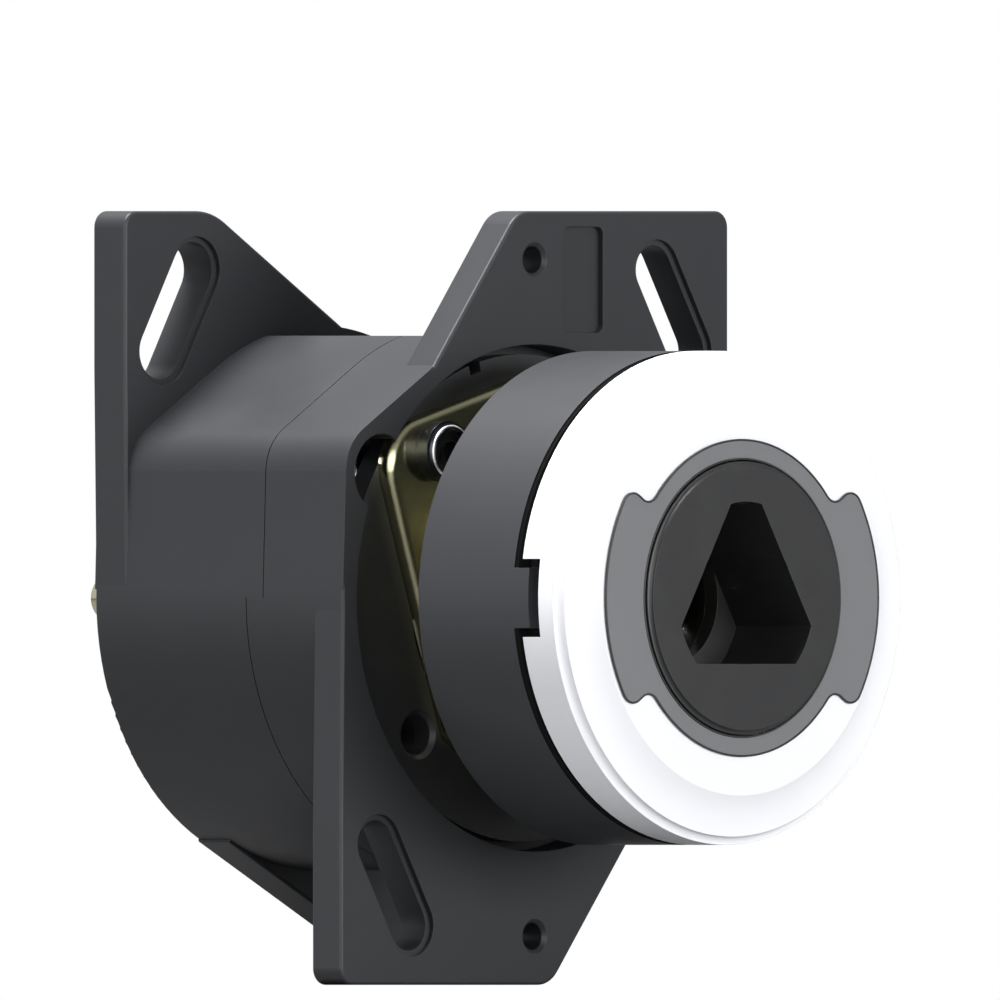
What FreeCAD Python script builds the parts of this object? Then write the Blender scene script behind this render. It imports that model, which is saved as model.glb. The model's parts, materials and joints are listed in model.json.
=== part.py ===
import FreeCAD, Part
import math
import os
import Sketcher

# Medical gas outlet for a bed-head panel.
# The frame's origin is on the outlet's axis, in the front face of the front flange.
# The front of the outlet looks along -Y, +Z is up, and lengths are in millimetres.
# Sketches of outlines lie in the XZ plane, so their normal points forward, along -Y.
# Sketches of turned profiles lie in the XY plane: X is the radius and Y the place on the axis.
# A place on the axis is written as its depth, counted forward from the flange's front face.

SIZES = {
    # Housing
    "ear_rise": 13.9,
    "flange_thick": 5.0,
    "flange_corner": 2.0,
    "flange_edge": 0.4,
    "flange_inset": 0.05,
    "housing_deep": 42.4,
    "tube_radius": 33.1,
    "tube_wall": 2.3,
    "ear_proud": 0.35,
    "ear_straight": 28.0,
    "front_ear_lean": 52.5,
    "front_ear_inset": 2.2,
    "front_ear_round": 4.0,
    "rear_flange_thick": 5.5,
    "rear_top_lean": 32.1,
    "rear_top_inset": 3.0,
    "rear_low_lean": 27.3,
    "rear_low_proud": 0.3,
    "rear_ear_round": 9.0,
    "flat_inset": 1.25,
    "slot_inset": 9.1,
    "slot_drop": 12.1,
    "slot_pitch": 11.4,
    "slot_width": 6.0,
    "rear_slot_width": 6.8,
    "slot_lean": 30.0,
    "slot_edge": 0.7,
    "pin_hole_drop": 5.9,
    "pin_hole_radius": 1.65,
    "pin_hole_mouth": 0.48,
    "badge_across": 8.35,
    "badge_drop": 8.35,
    "badge_wide": 6.9,
    "badge_high": 12.9,
    "badge_deep": 0.9,
    "badge_round": 1.0,
    "boss_angle": 150.0,
    "boss_inset": 2.7,
    "boss_radius": 6.3,
    "channel_radius": 4.75,
    "channel_deep": 9.6,
    "seam_upper": 13.6,
    "seam_step": 2.9,
    "seam_gap": 0.15,
    "web_rim": 4.3,
    "front_web": 3.5,
    "rear_web": 3.0,
    "rear_web_inner": 22.0,
    # Housing screws
    "long_screw_radius": 2.0,
    "long_screw_length": 22.0,
    "long_head_radius": 3.8,
    "long_head_high": 2.6,
    "screw_clearance": 0.25,
    # Carrier ring
    "ring_gap": 1.2,
    "ring_recess": 2.3,
    "ring_thick": 3.0,
    "ring_rim": 5.3,
    "ring_key_wide": 1.9,
    "ring_key_deep": 1.2,
    "ring_key_angle": 16.0,
    "screw_inset": 6.5,
    "clamp_offset": 17.0,
    "ring_hole_radius": 2.5,
    "ring_hole_mouth": 0.55,
    # Clamp screws
    "clamp_screw_radius": 2.0,
    "clamp_screw_length": 8.0,
    "clamp_head_radius": 3.75,
    "clamp_head_high": 2.6,
    "clamp_dish_radius": 2.7,
    "clamp_dish_deep": 0.35,
    "clamp_recess_across": 2.5,
    "clamp_recess_deep": 1.2,
    # Base block
    "plate_side": 11.0,
    "plate_end": 4.6,
    "plate_taper": 1.8,
    "plate_cut_up": 12.6,
    "plate_cut_across": 6.7,
    "plate_lean": 15.5,
    "plate_round": 6.0,
    "plate_thick": 2.1,
    "plate_edge": 0.3,
    "plate_corner_edge": 0.75,
    "hub_radius": 14.5,
    "hub_front": 9.5,
    "body_radius": 15.0,
    "body_rear": 36.0,
    "socket_bore": 11.0,
    "socket_bore_deep": 8.0,
    "valve_throat": 5.4,
    "service_seat": 12.5,
    "service_chamber": 8.0,
    "nipple_bore_front": 30.0,
    "thread_gap": 0.1,
    # Service valve
    "crown_radius": 4.7,
    "crown_inner": 3.3,
    "crown_cup": 3.2,
    "service_open": 2.0,
    "service_seal_thick": 1.4,
    "service_seal_radius": 6.8,
    "service_head_radius": 7.2,
    "service_head_thick": 3.0,
    "service_guide": 2.2,
    "service_guide_length": 14.0,
    # Inlet
    "nipple_spigot": 9.0,
    "nipple_hex": 24.0,
    "nipple_hex_thick": 5.0,
    "nipple_tail": 7.0,
    "nipple_tail_length": 9.0,
    "inlet_bore": 3.0,
    "washer_thick": 1.0,
    "washer_radius": 11.0,
    "nut_hex": 19.0,
    "nut_gap": 1.2,
    "nut_throat": 4.6,
    "nut_web": 2.5,
    "tail_end": 73.35,
    "tail_collar": 6.6,
    "tail_collar_thick": 2.0,
    "tail_neck": 4.3,
    "tail_neck_rear": 57.5,
    "barb_radius": 4.0,
    "barb_root": 2.55,
    "barb_step": 0.5,
    "barb_count": 4,
    "tail_bore": 1.8,
    # Socket body
    "clamp_flange_thick": 2.0,
    "clamp_flange_radius": 19.5,
    "sleeve_web_thick": 2.5,
    "socket_nose_radius": 12.0,
    "socket_front": 21.2,
    "probe_bore": 8.05,
    "probe_floor": 9.0,
    "check_throat": 4.5,
    "check_seat": 7.0,
    "check_chamber": 7.5,
    "spigot_rear": 7.0,
    "retainer_radius": 8.6,
    "retainer_thick": 3.0,
    "retainer_hole": 1.1,
    "retainer_hole_circle": 5.2,
    "o_ring_place": 3.0,
    "o_ring_wide": 2.0,
    "o_ring_deep": 1.3,
    "probe_seal_rear": 12.0,
    "probe_seal_wide": 2.0,
    "probe_seal_groove": 9.6,
    "probe_seal_inner": 7.7,
    # Check valve
    "check_head_radius": 6.6,
    "check_head_thick": 2.4,
    "check_seal_radius": 6.2,
    "check_seal_thick": 1.0,
    "check_stem": 3.0,
    "check_stem_front": 11.5,
    "check_guide": 2.2,
    "check_guide_length": 9.6,
    "guide_clearance": 0.06,
    # Springs
    "service_coil": 5.2,
    "service_wire": 0.9,
    "service_turns": 3.0,
    "check_coil": 4.2,
    "check_wire": 0.8,
    "check_turns": 3.0,
    "release_wire": 1.1,
    "release_turns": 2.0,
    "spring_seat_gap": 0.05,
    # Locking pins and lock sleeve
    "lock_pins": 3,
    "lock_pin_radius": 1.2,
    "lock_pin_place": 18.0,
    "lock_pin_tip": 7.2,
    "lock_pin_reach": 13.9,
    "lock_pin_clearance": 0.05,
    "cone_clearance": 0.06,
    "cone_foot": 12.2,
    "cone_foot_place": 16.7,
    "cone_rise": 2.8,
    "relief_front": 22.0,
    "lock_rear": 15.5,
    "lock_tail_radius": 16.4,
    "lock_shoulder": 20.0,
    "lock_radius": 18.0,
    "lock_flange_radius": 20.5,
    "lock_flange_thick": 2.0,
    "slide_clearance": 0.15,
    "stop_gap": 0.05,
    # Insert
    "insert_face": 36.2,
    "insert_radius": 16.6,
    "insert_edge": 0.5,
    "insert_head_thick": 5.2,
    "insert_shank": 13.2,
    "insert_lap": 1.6,
    "key_inradius": 8.0,
    "key_corner": 11.7,
    "key_deep": 12.9,
    # Outer sleeve
    "sleeve_radius": 30.0,
    "sleeve_wall": 2.4,
    "press_gap": 0.95,
    "sleeve_spigot_step": 1.8,
    "sleeve_edge": 0.35,
    "sleeve_spigot_length": 3.2,
    "sleeve_tab_high": 7.3,
    "sleeve_tab_length": 2.2,
    # Release cap
    "insert_proud": 1.0,
    "cap_deep": 7.9,
    "cap_round": 1.0,
    "cap_shoulder_inset": 1.2,
    "cap_dome_rise": 1.5,
    "cap_dome_run": 4.8,
    "cap_wall": 2.0,
    "cap_roof_thick": 3.6,
    "cap_bore": 16.9,
    "cap_collar_gap": 0.1,
    "cap_collar_wall": 1.9,
    "cap_collar_reach": 0.8,
    "cap_bead": 0.4,
    "cap_bead_gap": 0.05,
    "cap_notch_high": 9.5,
    "cap_notch_deep": 3.0,
    # Label plate
    "label_thick": 0.25,
    "label_radius": 19.2,
    "label_tab_inset": 0.5,
    "label_tab_half": 35.0,
    "label_round": 1.8,
    "label_round_share": 0.45,
}
TOUCH = 0.001

doc = FreeCAD.newDocument("GasOutlet")
sheet = doc.addObject("Spreadsheet::Sheet", "Sizes")
for line, (alias, value) in enumerate(SIZES.items(), start=1):
    sheet.set(f"A{line}", alias)
    sheet.set(f"B{line}", str(value))
    sheet.setAlias(f"B{line}", alias)
doc.recompute()

SUBPARTS = []

# Places across the axis that follow from the sizes.
BORE = "(tube_radius - tube_wall)"
EAR_SIDE = "(tube_radius + ear_proud)"
FLANGE_TOP = "(tube_radius + ear_rise)"
BOSS_PLACE = "(tube_radius - boss_inset)"
RING_RADIUS = "(tube_radius - tube_wall - ring_gap)"
SCREW_CIRCLE = "(tube_radius - tube_wall - screw_inset)"
RING_INNER = "(tube_radius - tube_wall - screw_inset - ring_rim)"
WEB_INNER = "(tube_radius - tube_wall - screw_inset - web_rim)"
PLATE_HALF_WIDE = "(tube_radius - tube_wall - plate_side)"
PLATE_HALF_HIGH = "(tube_radius - tube_wall - plate_end)"
SLOT_ACROSS = "(tube_radius - slot_inset)"
SLOT_UP = "(tube_radius + ear_rise - slot_drop)"
SPIGOT = "(sleeve_radius - sleeve_wall)"
CAP_INNER = "(sleeve_radius - cap_wall)"
CAP_SHOULDER_RADIUS = "(sleeve_radius - cap_shoulder_inset)"
CAP_FLAT_RADIUS = "(sleeve_radius - cap_shoulder_inset - cap_dome_run)"
LABEL_TAB_RADIUS = "(sleeve_radius - cap_shoulder_inset - cap_dome_run - label_tab_inset)"
LABEL_CORNER = f"min(label_round; ({LABEL_TAB_RADIUS} - label_radius) * label_round_share)"
COLLAR_INNER = "(lock_flange_radius + cap_collar_gap)"

# Depths that follow from the sizes, counted forward from the flange's front face.
RING_FRONT = "(-ring_recess)"
RING_BACK = "(-ring_recess - ring_thick)"
WEB_BACK = "(-ring_recess - ring_thick - front_web)"
PLATE_FRONT = "(-ring_recess + plate_thick)"
SEAM_LOWER = "(-seam_upper - seam_step)"
REAR_FRONT = "(-seam_upper - seam_gap)"
REAR_FLANGE_FRONT = "(rear_flange_thick - housing_deep)"
REAR_WEB_FRONT = "(rear_web - housing_deep)"
SLEEVE_WEB_FRONT = "(hub_front + sleeve_web_thick)"
CLAMP_FRONT = "(hub_front + sleeve_web_thick + clamp_flange_thick)"
RETAINER_REAR = "(-spigot_rear)"
RETAINER_FRONT = "(-spigot_rear + retainer_thick)"
CHECK_HEAD_FRONT = "(check_seat - check_seal_thick)"
CHECK_HEAD_REAR = "(check_seat - check_seal_thick - check_head_thick)"
SERVICE_HEAD_FRONT = "(-service_seat - service_open - service_seal_thick)"
SERVICE_HEAD_REAR = "(-service_seat - service_open - service_seal_thick - service_head_thick)"
NIPPLE_HEX_FRONT = "(-body_rear - washer_thick)"
NIPPLE_HEX_REAR = "(-body_rear - washer_thick - nipple_hex_thick)"
NIPPLE_REAR = "(-body_rear - washer_thick - nipple_hex_thick - nipple_tail_length)"
NUT_FRONT = "(-body_rear - washer_thick - nipple_hex_thick - nut_gap)"
COLLAR_REAR = "(-body_rear - washer_thick - nipple_hex_thick - nipple_tail_length - tail_collar_thick)"
NUT_REAR = f"({COLLAR_REAR} - nut_web)"
INSERT_HEAD_REAR = "(insert_face - insert_head_thick)"
INSERT_REAR = "(socket_front - insert_lap)"
LOCK_FRONT = "(insert_face - insert_head_thick - stop_gap)"
LOCK_FLANGE_REAR = "(insert_face - insert_head_thick - stop_gap - lock_flange_thick)"
CAP_FACE = "(insert_face - insert_proud)"
CAP_SHOULDER = "(insert_face - insert_proud - cap_dome_rise)"
CAP_BAND = "(insert_face - insert_proud - cap_dome_rise - cap_round)"
CAP_ROOF = "(insert_face - insert_proud - cap_roof_thick)"
CAP_REAR = "(insert_face - insert_proud - cap_deep)"
CAP_COLLAR_REAR = "(insert_face - insert_proud - cap_deep - cap_collar_reach)"
SLEEVE_FRONT = "(insert_face - insert_proud - cap_deep - press_gap)"


def sized(formula):
    """Write the sizes named in a formula as cells of the sheet."""
    text = ""
    word = ""
    for letter in formula + " ":
        if letter.isalnum() or letter == "_":
            word += letter
            continue
        text += f"Sizes.{word}" if word in SIZES else word
        text += letter
        word = ""
    return text.strip()


def number(formula):
    """Work out a formula of size names."""
    found = sheet.evalExpression(sized(formula))
    return float(getattr(found, "Value", found))


def spot(across, up):
    """Give the point of a sketch that two formulas name."""
    return FreeCAD.Vector(number(across), number(up), 0)


def new_body(label):
    """Start a sub-part as a body whose label names its file."""
    body = doc.addObject("PartDesign::Body", label)
    body.Label = label
    body.AllowCompound = True
    body.Placement = FreeCAD.Placement()
    SUBPARTS.append(body)
    return body


def datum(body, role):
    """Find one of a body's own origin planes or axes."""
    return next(item for item in body.Origin.OriginFeatures if item.Role == role)


def new_sketch(body, role, depth="0", lean="0", across="0"):
    """Attach a sketch to an origin plane, moved along its normal and turned about it."""
    sketch = body.newObject("Sketcher::SketchObject", f"{body.Name}_outline")
    sketch.AttachmentSupport = (datum(body, role), "")
    sketch.MapMode = "FlatFace"
    turned = FreeCAD.Rotation(FreeCAD.Vector(0, 0, 1), number(lean))
    sketch.AttachmentOffset = FreeCAD.Placement(FreeCAD.Vector(number(across), 0, number(depth)), turned)
    sketch.setExpression(".AttachmentOffset.Base.x", sized(across))
    sketch.setExpression(".AttachmentOffset.Base.z", sized(depth))
    if lean != "0":
        sketch.setExpression(".AttachmentOffset.Rotation.Angle", sized(lean))
    return sketch


def hold(sketch, kind, formula, *places):
    """Add a constraint whose value follows a formula."""
    index = sketch.addConstraint(Sketcher.Constraint(kind, *places, number(formula)))
    sketch.setExpression(f"Constraints[{index}]", sized(formula))


def pin_point(sketch, across, up, edge, end):
    """Hold one end or centre of an edge at a named place."""
    hold(sketch, "DistanceX", across, -1, 1, edge, end)
    hold(sketch, "DistanceY", up, -1, 1, edge, end)


def arc_between(start, end, radius):
    """Draw the shorter arc from start to end, its centre on the left for a positive radius."""
    chord = end.sub(start)
    side = FreeCAD.Vector(-chord.y, chord.x, 0).normalize()
    rise = math.sqrt(radius * radius - chord.Length * chord.Length / 4)
    centre = start.add(chord.multiply(0.5)).add(side.multiply(math.copysign(rise, radius)))
    circle = Part.Circle(centre, FreeCAD.Vector(0, 0, 1), abs(radius))
    first = start if radius > 0 else end
    last = end if radius > 0 else start
    return Part.ArcOfCircle(circle, circle.parameter(first), circle.parameter(last))


def draw_outline(sketch, corners):
    """Close an outline through corners of formulas, where a third one bends the edge that leaves."""
    spots = [spot(corner[0], corner[1]) for corner in corners]
    starts = []
    ends = []
    for index, corner in enumerate(corners):
        start = spots[index]
        end = spots[(index + 1) % len(spots)]
        if len(corner) == 2:
            edge = sketch.addGeometry(Part.LineSegment(start, end), False)
            starts.append((edge, 1))
            ends.append((edge, 2))
            continue
        bend = number(corner[2])
        edge = sketch.addGeometry(arc_between(start, end, bend), False)
        starts.append((edge, 1 if bend > 0 else 2))
        ends.append((edge, 2 if bend > 0 else 1))
        hold(sketch, "Radius", corner[2].lstrip("-"), edge)
    for index, corner in enumerate(corners):
        sketch.addConstraint(Sketcher.Constraint("Coincident", *ends[index - 1], *starts[index]))
        pin_point(sketch, corner[0], corner[1], *starts[index])


def draw_circle(sketch, radius, across="0", up="0"):
    """Draw a circle at a named place."""
    circle = Part.Circle(spot(across, up), FreeCAD.Vector(0, 0, 1), number(radius))
    edge = sketch.addGeometry(circle, False)
    pin_point(sketch, across, up, edge, 3)
    hold(sketch, "Radius", radius, edge)


def draw_hexagon(sketch, flats, across="0", up="0"):
    """Draw a hexagon of a given width over its flats."""
    corners = []
    for step in range(6):
        reach = f"{flats} / sqrt(3)"
        corners.append((f"{across} + {reach} * cos({60 * step})", f"{up} + {reach} * sin({60 * step})"))
    draw_outline(sketch, corners)


def draw_rounded(sketch, wide, high, bend, across="0", up="0"):
    """Draw a rectangle with round corners about a named place."""
    left = f"{across} - {wide} / 2"
    right = f"{across} + {wide} / 2"
    low = f"{up} - {high} / 2"
    top = f"{up} + {high} / 2"
    draw_outline(sketch, [
        (f"{left} + {bend}", low),
        (f"{right} - {bend}", low, bend),
        (right, f"{low} + {bend}"),
        (right, f"{top} - {bend}", bend),
        (f"{right} - {bend}", top),
        (f"{left} + {bend}", top, bend),
        (left, f"{top} - {bend}"),
        (left, f"{low} + {bend}", bend),
    ])


def draw_slot(sketch, pitch, width):
    """Draw an upright slot about the sketch's origin."""
    half = f"({width}) / 2"
    reach = f"({pitch}) / 2"
    draw_outline(sketch, [
        (half, f"-{reach}"),
        (half, reach, half),
        ("0", f"{reach} + {half}", half),
        (f"-{half}", reach),
        (f"-{half}", f"-{reach}", half),
        ("0", f"-{reach} - {half}", half),
    ])


def extrude(body, sketch, length, cut=False, whole=False):
    """Pad a sketch forward, or cut it away backward, over a named length."""
    kind = "Pocket" if cut else "Pad"
    feature = body.newObject(f"PartDesign::{kind}", f"{body.Name}_{kind}")
    feature.Profile = sketch
    if whole:
        feature.Midplane = True
    feature.setExpression("Length", sized(length))
    body.Tip = feature
    return feature


def turn(body, corners, cut=False, across="0", up="0"):
    """Turn a profile of radius and depth about an axis that runs along Y."""
    sketch = new_sketch(body, "XY_Plane", depth=up, across=across)
    draw_outline(sketch, [(corner[0], f"-({corner[1]})", *corner[2:]) for corner in corners])
    kind = "Groove" if cut else "Revolution"
    feature = body.newObject(f"PartDesign::{kind}", f"{body.Name}_{kind}")
    feature.Profile = sketch
    feature.ReferenceAxis = (sketch, ["V_Axis"])
    feature.Angle = 360
    body.Tip = feature
    return feature


def repeat(body, features, count):
    """Repeat features evenly about the outlet's axis."""
    pattern = body.newObject("PartDesign::PolarPattern", f"{body.Name}_pattern")
    pattern.Originals = features
    pattern.Axis = (datum(body, "Y_Axis"), [""])
    pattern.Angle = 360
    pattern.setExpression("Occurrences", sized(count))
    body.Tip = pattern
    return pattern


def soften(body, kind, size, chosen):
    """Round or bevel the edges of a body's last feature that a test picks."""
    doc.recompute()
    base = body.Tip
    names = [f"Edge{place}" for place, edge in enumerate(base.Shape.Edges, start=1) if chosen(edge)]
    feature = body.newObject(f"PartDesign::{kind}", f"{body.Name}_{kind}")
    feature.Base = (base, names)
    feature.setExpression("Radius" if kind == "Fillet" else "Size", sized(size))
    body.Tip = feature
    return feature


def lies_at(edge, depth):
    """Tell whether an edge lies wholly at one depth."""
    box = edge.BoundBox
    return abs(box.YMin + number(depth)) < TOUCH and abs(box.YMax + number(depth)) < TOUCH


def runs_back(edge, corners):
    """Tell whether a straight edge runs along Y through one of some points and their opposites."""
    box = edge.BoundBox
    if box.XLength > TOUCH or box.ZLength > TOUCH:
        return False
    return any(
        abs(abs(box.XMin) - abs(number(across))) < TOUCH
        and abs(abs(box.ZMin) - abs(number(up))) < TOUCH
        and (box.XMin * box.ZMin > 0) == (number(across) * number(up) > 0)
        for across, up in corners
    )


def is_rim(edge, depth):
    """Tell whether an edge at one depth lies outside the housing's bore."""
    middle = edge.valueAt((edge.FirstParameter + edge.LastParameter) / 2)
    return lies_at(edge, depth) and math.hypot(middle.x, middle.z) > number(BORE) - TOUCH


def boss_hull(body, front, rear):
    """Pad the boss of a housing screw and its flanks out of the tube."""
    cosine = f"((tube_radius - boss_radius) / {BOSS_PLACE})"
    sine = f"sqrt(1 - {cosine} * {cosine})"
    flanks = new_sketch(body, "XZ_Plane", depth=rear, lean="boss_angle")
    draw_outline(flanks, [
        (f"tube_radius * {cosine}", f"-tube_radius * {sine}"),
        (f"{BOSS_PLACE} + boss_radius * {cosine}", f"-boss_radius * {sine}", "boss_radius"),
        (f"{BOSS_PLACE} + boss_radius * {cosine}", f"boss_radius * {sine}"),
        (f"tube_radius * {cosine}", f"tube_radius * {sine}"),
    ])
    return extrude(body, flanks, f"{front} - {rear}")


def channel_disc(body, front, rear, radius, cut=False):
    """Pad or cut a round shape on the axis of a housing screw."""
    sketch = new_sketch(body, "XZ_Plane", depth=front if cut else rear, lean="boss_angle")
    draw_circle(sketch, radius, BOSS_PLACE)
    return extrude(body, sketch, f"{front} - {rear}", cut)


def flange_slot(body, front, thick, width, side):
    """Cut the leaning slot of a flange and bevel its mouth."""
    cuts = []
    lean = "slot_lean" if side > 0 else "-slot_lean"
    across = SLOT_ACROSS if side > 0 else f"-{SLOT_ACROSS}"
    for grow, deep in (("0", thick), ("2 * slot_edge", "slot_edge")):
        sketch = body.newObject("Sketcher::SketchObject", f"{body.Name}_slot")
        sketch.AttachmentSupport = (datum(body, "XZ_Plane"), "")
        sketch.MapMode = "FlatFace"
        turned = FreeCAD.Rotation(FreeCAD.Vector(0, 0, 1), number(lean))
        place = FreeCAD.Vector(number(across), number(SLOT_UP), number(front))
        sketch.AttachmentOffset = FreeCAD.Placement(place, turned)
        sketch.setExpression(".AttachmentOffset.Base.x", sized(across))
        sketch.setExpression(".AttachmentOffset.Base.y", sized(SLOT_UP))
        sketch.setExpression(".AttachmentOffset.Base.z", sized(front))
        sketch.setExpression(".AttachmentOffset.Rotation.Angle", sized(lean))
        draw_slot(sketch, "slot_pitch", f"{width} + {grow}")
        cuts.append(extrude(body, sketch, deep, cut=True))
    return cuts


def ear_pair(body, corners, rear, front):
    """Pad the two ears of a flange, which are alike by half a turn."""
    ear = new_sketch(body, "XZ_Plane", depth=rear)
    draw_outline(ear, corners)
    repeat(body, [extrude(body, ear, f"{front} - {rear}")], "2")


def turn_tube(body, seam, face):
    """Add the housing's tube, sharp at its seam and rounded like its flange at its outer face."""
    outward = "" if number(face) > number(seam) else "-"
    turn(body, [
        ("0", seam),
        ("0", face),
        ("tube_radius - flange_edge", face, f"{outward}flange_edge"),
        ("tube_radius", f"{face} - ({outward}flange_edge)"),
        ("tube_radius", seam),
    ])


def cut_flat(body, front, rear):
    """Plane the top of the tube flat over one stretch of its depth."""
    flat = new_sketch(body, "XZ_Plane", depth=front)
    low = "tube_radius - flat_inset"
    high = "tube_radius + flat_inset"
    draw_outline(flat, [
        ("-tube_radius", low),
        ("tube_radius", low),
        ("tube_radius", high),
        ("-tube_radius", high),
    ])
    extrude(body, flat, f"{front} - {rear}", cut=True)


def build_front_flange():
    """Mould the front flange with its collar, web and screw channels."""
    body = new_body("front_flange")
    reach = "(tube_radius - front_ear_inset)"
    edge_top = f"({FLANGE_TOP} * cos(front_ear_lean) - {reach}) / sin(front_ear_lean)"
    ear_pair(body, [
        (f"-{reach} * sin(front_ear_lean)", f"{reach} * cos(front_ear_lean)"),
        ("-boss_radius", "-boss_radius"),
        ("tube_radius - flange_inset", "0"),
        (EAR_SIDE, "ear_straight"),
        (EAR_SIDE, FLANGE_TOP),
        (edge_top, FLANGE_TOP),
    ], "(-flange_thick)", "0")
    soften(body, "Fillet", "front_ear_round", lambda edge: runs_back(edge, [(edge_top, FLANGE_TOP)]))
    soften(body, "Fillet", "flange_corner", lambda edge: runs_back(edge, [(EAR_SIDE, FLANGE_TOP)]))
    soften(body, "Fillet", "flange_edge", lambda edge: is_rim(edge, "0"))
    soften(body, "Fillet", "flange_edge", lambda edge: is_rim(edge, "-flange_thick"))
    repeat(body, [boss_hull(body, "0", SEAM_LOWER)], "2")
    turn_tube(body, SEAM_LOWER, "0")
    slot = flange_slot(body, "0", "flange_thick", "slot_width", 1)
    hole = new_sketch(body, "XZ_Plane")
    draw_circle(hole, "pin_hole_radius", "0", f"{FLANGE_TOP} - pin_hole_drop")
    pin_hole = extrude(body, hole, "flange_thick", cut=True)
    mouth = turn(body, [
        ("0", "0"),
        ("pin_hole_radius + pin_hole_mouth", "0"),
        ("0", "-pin_hole_radius - pin_hole_mouth"),
    ], cut=True, up=f"{FLANGE_TOP} - pin_hole_drop")
    repeat(body, [*slot, pin_hole, mouth], "2")
    recess = new_sketch(body, "XZ_Plane")
    draw_rounded(
        recess, "badge_wide", "badge_high", "badge_round", "badge_across", f"{FLANGE_TOP} - badge_drop",
    )
    extrude(body, recess, "badge_deep", cut=True)
    bore = new_sketch(body, "XZ_Plane")
    draw_circle(bore, BORE)
    extrude(body, bore, f"-{RING_BACK}", cut=True)
    rear_bore = new_sketch(body, "XZ_Plane", depth=WEB_BACK)
    draw_circle(rear_bore, BORE)
    extrude(body, rear_bore, f"{WEB_BACK} - {SEAM_LOWER}", cut=True)
    eye = new_sketch(body, "XZ_Plane", depth=RING_BACK)
    draw_circle(eye, WEB_INNER)
    extrude(body, eye, "front_web", cut=True)
    lug = channel_disc(body, "-channel_deep", SEAM_LOWER, "channel_radius + slide_clearance")
    repeat(body, [lug], "2")
    channel = channel_disc(body, "0", "-channel_deep", "channel_radius", cut=True)
    way = channel_disc(body, "0", SEAM_LOWER, "long_screw_radius + screw_clearance", cut=True)
    pilot = new_sketch(body, "XZ_Plane", depth=RING_BACK, lean="boss_angle - clamp_offset")
    draw_circle(pilot, "clamp_screw_radius", SCREW_CIRCLE)
    pilots = extrude(body, pilot, "front_web", cut=True)
    free = new_sketch(body, "XZ_Plane", depth=RING_BACK, lean="boss_angle - clamp_offset + 90")
    draw_circle(free, "ring_hole_radius", SCREW_CIRCLE)
    frees = extrude(body, free, "front_web", cut=True)
    repeat(body, [channel, way, pilots, frees], "2")
    step = new_sketch(body, "XZ_Plane", depth="-seam_upper")
    draw_outline(step, [
        (f"-{FLANGE_TOP}", "0"),
        (FLANGE_TOP, "0"),
        (FLANGE_TOP, FLANGE_TOP),
        (f"-{FLANGE_TOP}", FLANGE_TOP),
    ])
    extrude(body, step, "seam_step", cut=True)
    cut_flat(body, "-flange_thick", SEAM_LOWER)


def rear_ear(body, side, lean, reach):
    """Pad one ear of the rear flange and round the corner where its slope starts."""
    flip = "" if side > 0 else "-"
    back = "-" if side > 0 else ""
    edge_top = f"({reach} - {FLANGE_TOP} * cos({lean})) / sin({lean})"
    ear = new_sketch(body, "XZ_Plane", depth="(-housing_deep)")
    draw_outline(ear, [
        (f"{flip}{reach} * sin({lean})", f"{flip}{reach} * cos({lean})"),
        (f"{flip}({edge_top})", f"{flip}{FLANGE_TOP}"),
        (f"{back}{EAR_SIDE}", f"{flip}{FLANGE_TOP}"),
        (f"{back}{EAR_SIDE}", f"{flip}ear_straight"),
        (f"{back}(tube_radius - flange_inset)", "0"),
        (f"{flip}boss_radius", f"{back}boss_radius"),
    ])
    extrude(body, ear, "rear_flange_thick")
    soften(body, "Fillet", "rear_ear_round", lambda edge: runs_back(edge, [(edge_top, FLANGE_TOP)]))


def build_rear_housing():
    """Mould the rear flange with its tube and screw pillars."""
    body = new_body("rear_housing")
    rear_ear(body, 1, "rear_top_lean", "(tube_radius - rear_top_inset)")
    rear_ear(body, -1, "rear_low_lean", "(tube_radius + rear_low_proud)")
    soften(body, "Fillet", "flange_corner", lambda edge: runs_back(edge, [(f"-{EAR_SIDE}", FLANGE_TOP)]))
    soften(body, "Fillet", "flange_edge", lambda edge: is_rim(edge, REAR_FLANGE_FRONT))
    soften(body, "Fillet", "flange_edge", lambda edge: is_rim(edge, "-housing_deep"))
    slot = flange_slot(body, REAR_FLANGE_FRONT, "rear_flange_thick", "rear_slot_width", -1)
    repeat(body, slot, "2")
    turn_tube(body, REAR_FRONT, "(-housing_deep)")
    repeat(body, [boss_hull(body, REAR_FRONT, "(-housing_deep)")], "2")
    bore = new_sketch(body, "XZ_Plane", depth=REAR_FRONT)
    draw_circle(bore, BORE)
    extrude(body, bore, f"{REAR_FRONT} - {REAR_WEB_FRONT}", cut=True)
    eye = new_sketch(body, "XZ_Plane", depth=REAR_WEB_FRONT)
    draw_circle(eye, "rear_web_inner")
    extrude(body, eye, "rear_web", cut=True)
    pillar = channel_disc(body, REAR_FRONT, "(-housing_deep)", "channel_radius")
    repeat(body, [pillar], "2")
    screw_end = "(-channel_deep - long_screw_length)"
    pilot = channel_disc(body, REAR_FRONT, screw_end, "long_screw_radius", cut=True)
    repeat(body, [pilot], "2")
    step = new_sketch(body, "XZ_Plane", depth=REAR_FRONT)
    draw_outline(step, [
        (f"-{FLANGE_TOP}", f"-{FLANGE_TOP}"),
        (FLANGE_TOP, f"-{FLANGE_TOP}"),
        (FLANGE_TOP, "0"),
        (f"-{FLANGE_TOP}", "0"),
    ])
    extrude(body, step, "seam_step", cut=True)
    cut_flat(body, REAR_FRONT, REAR_FLANGE_FRONT)


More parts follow.
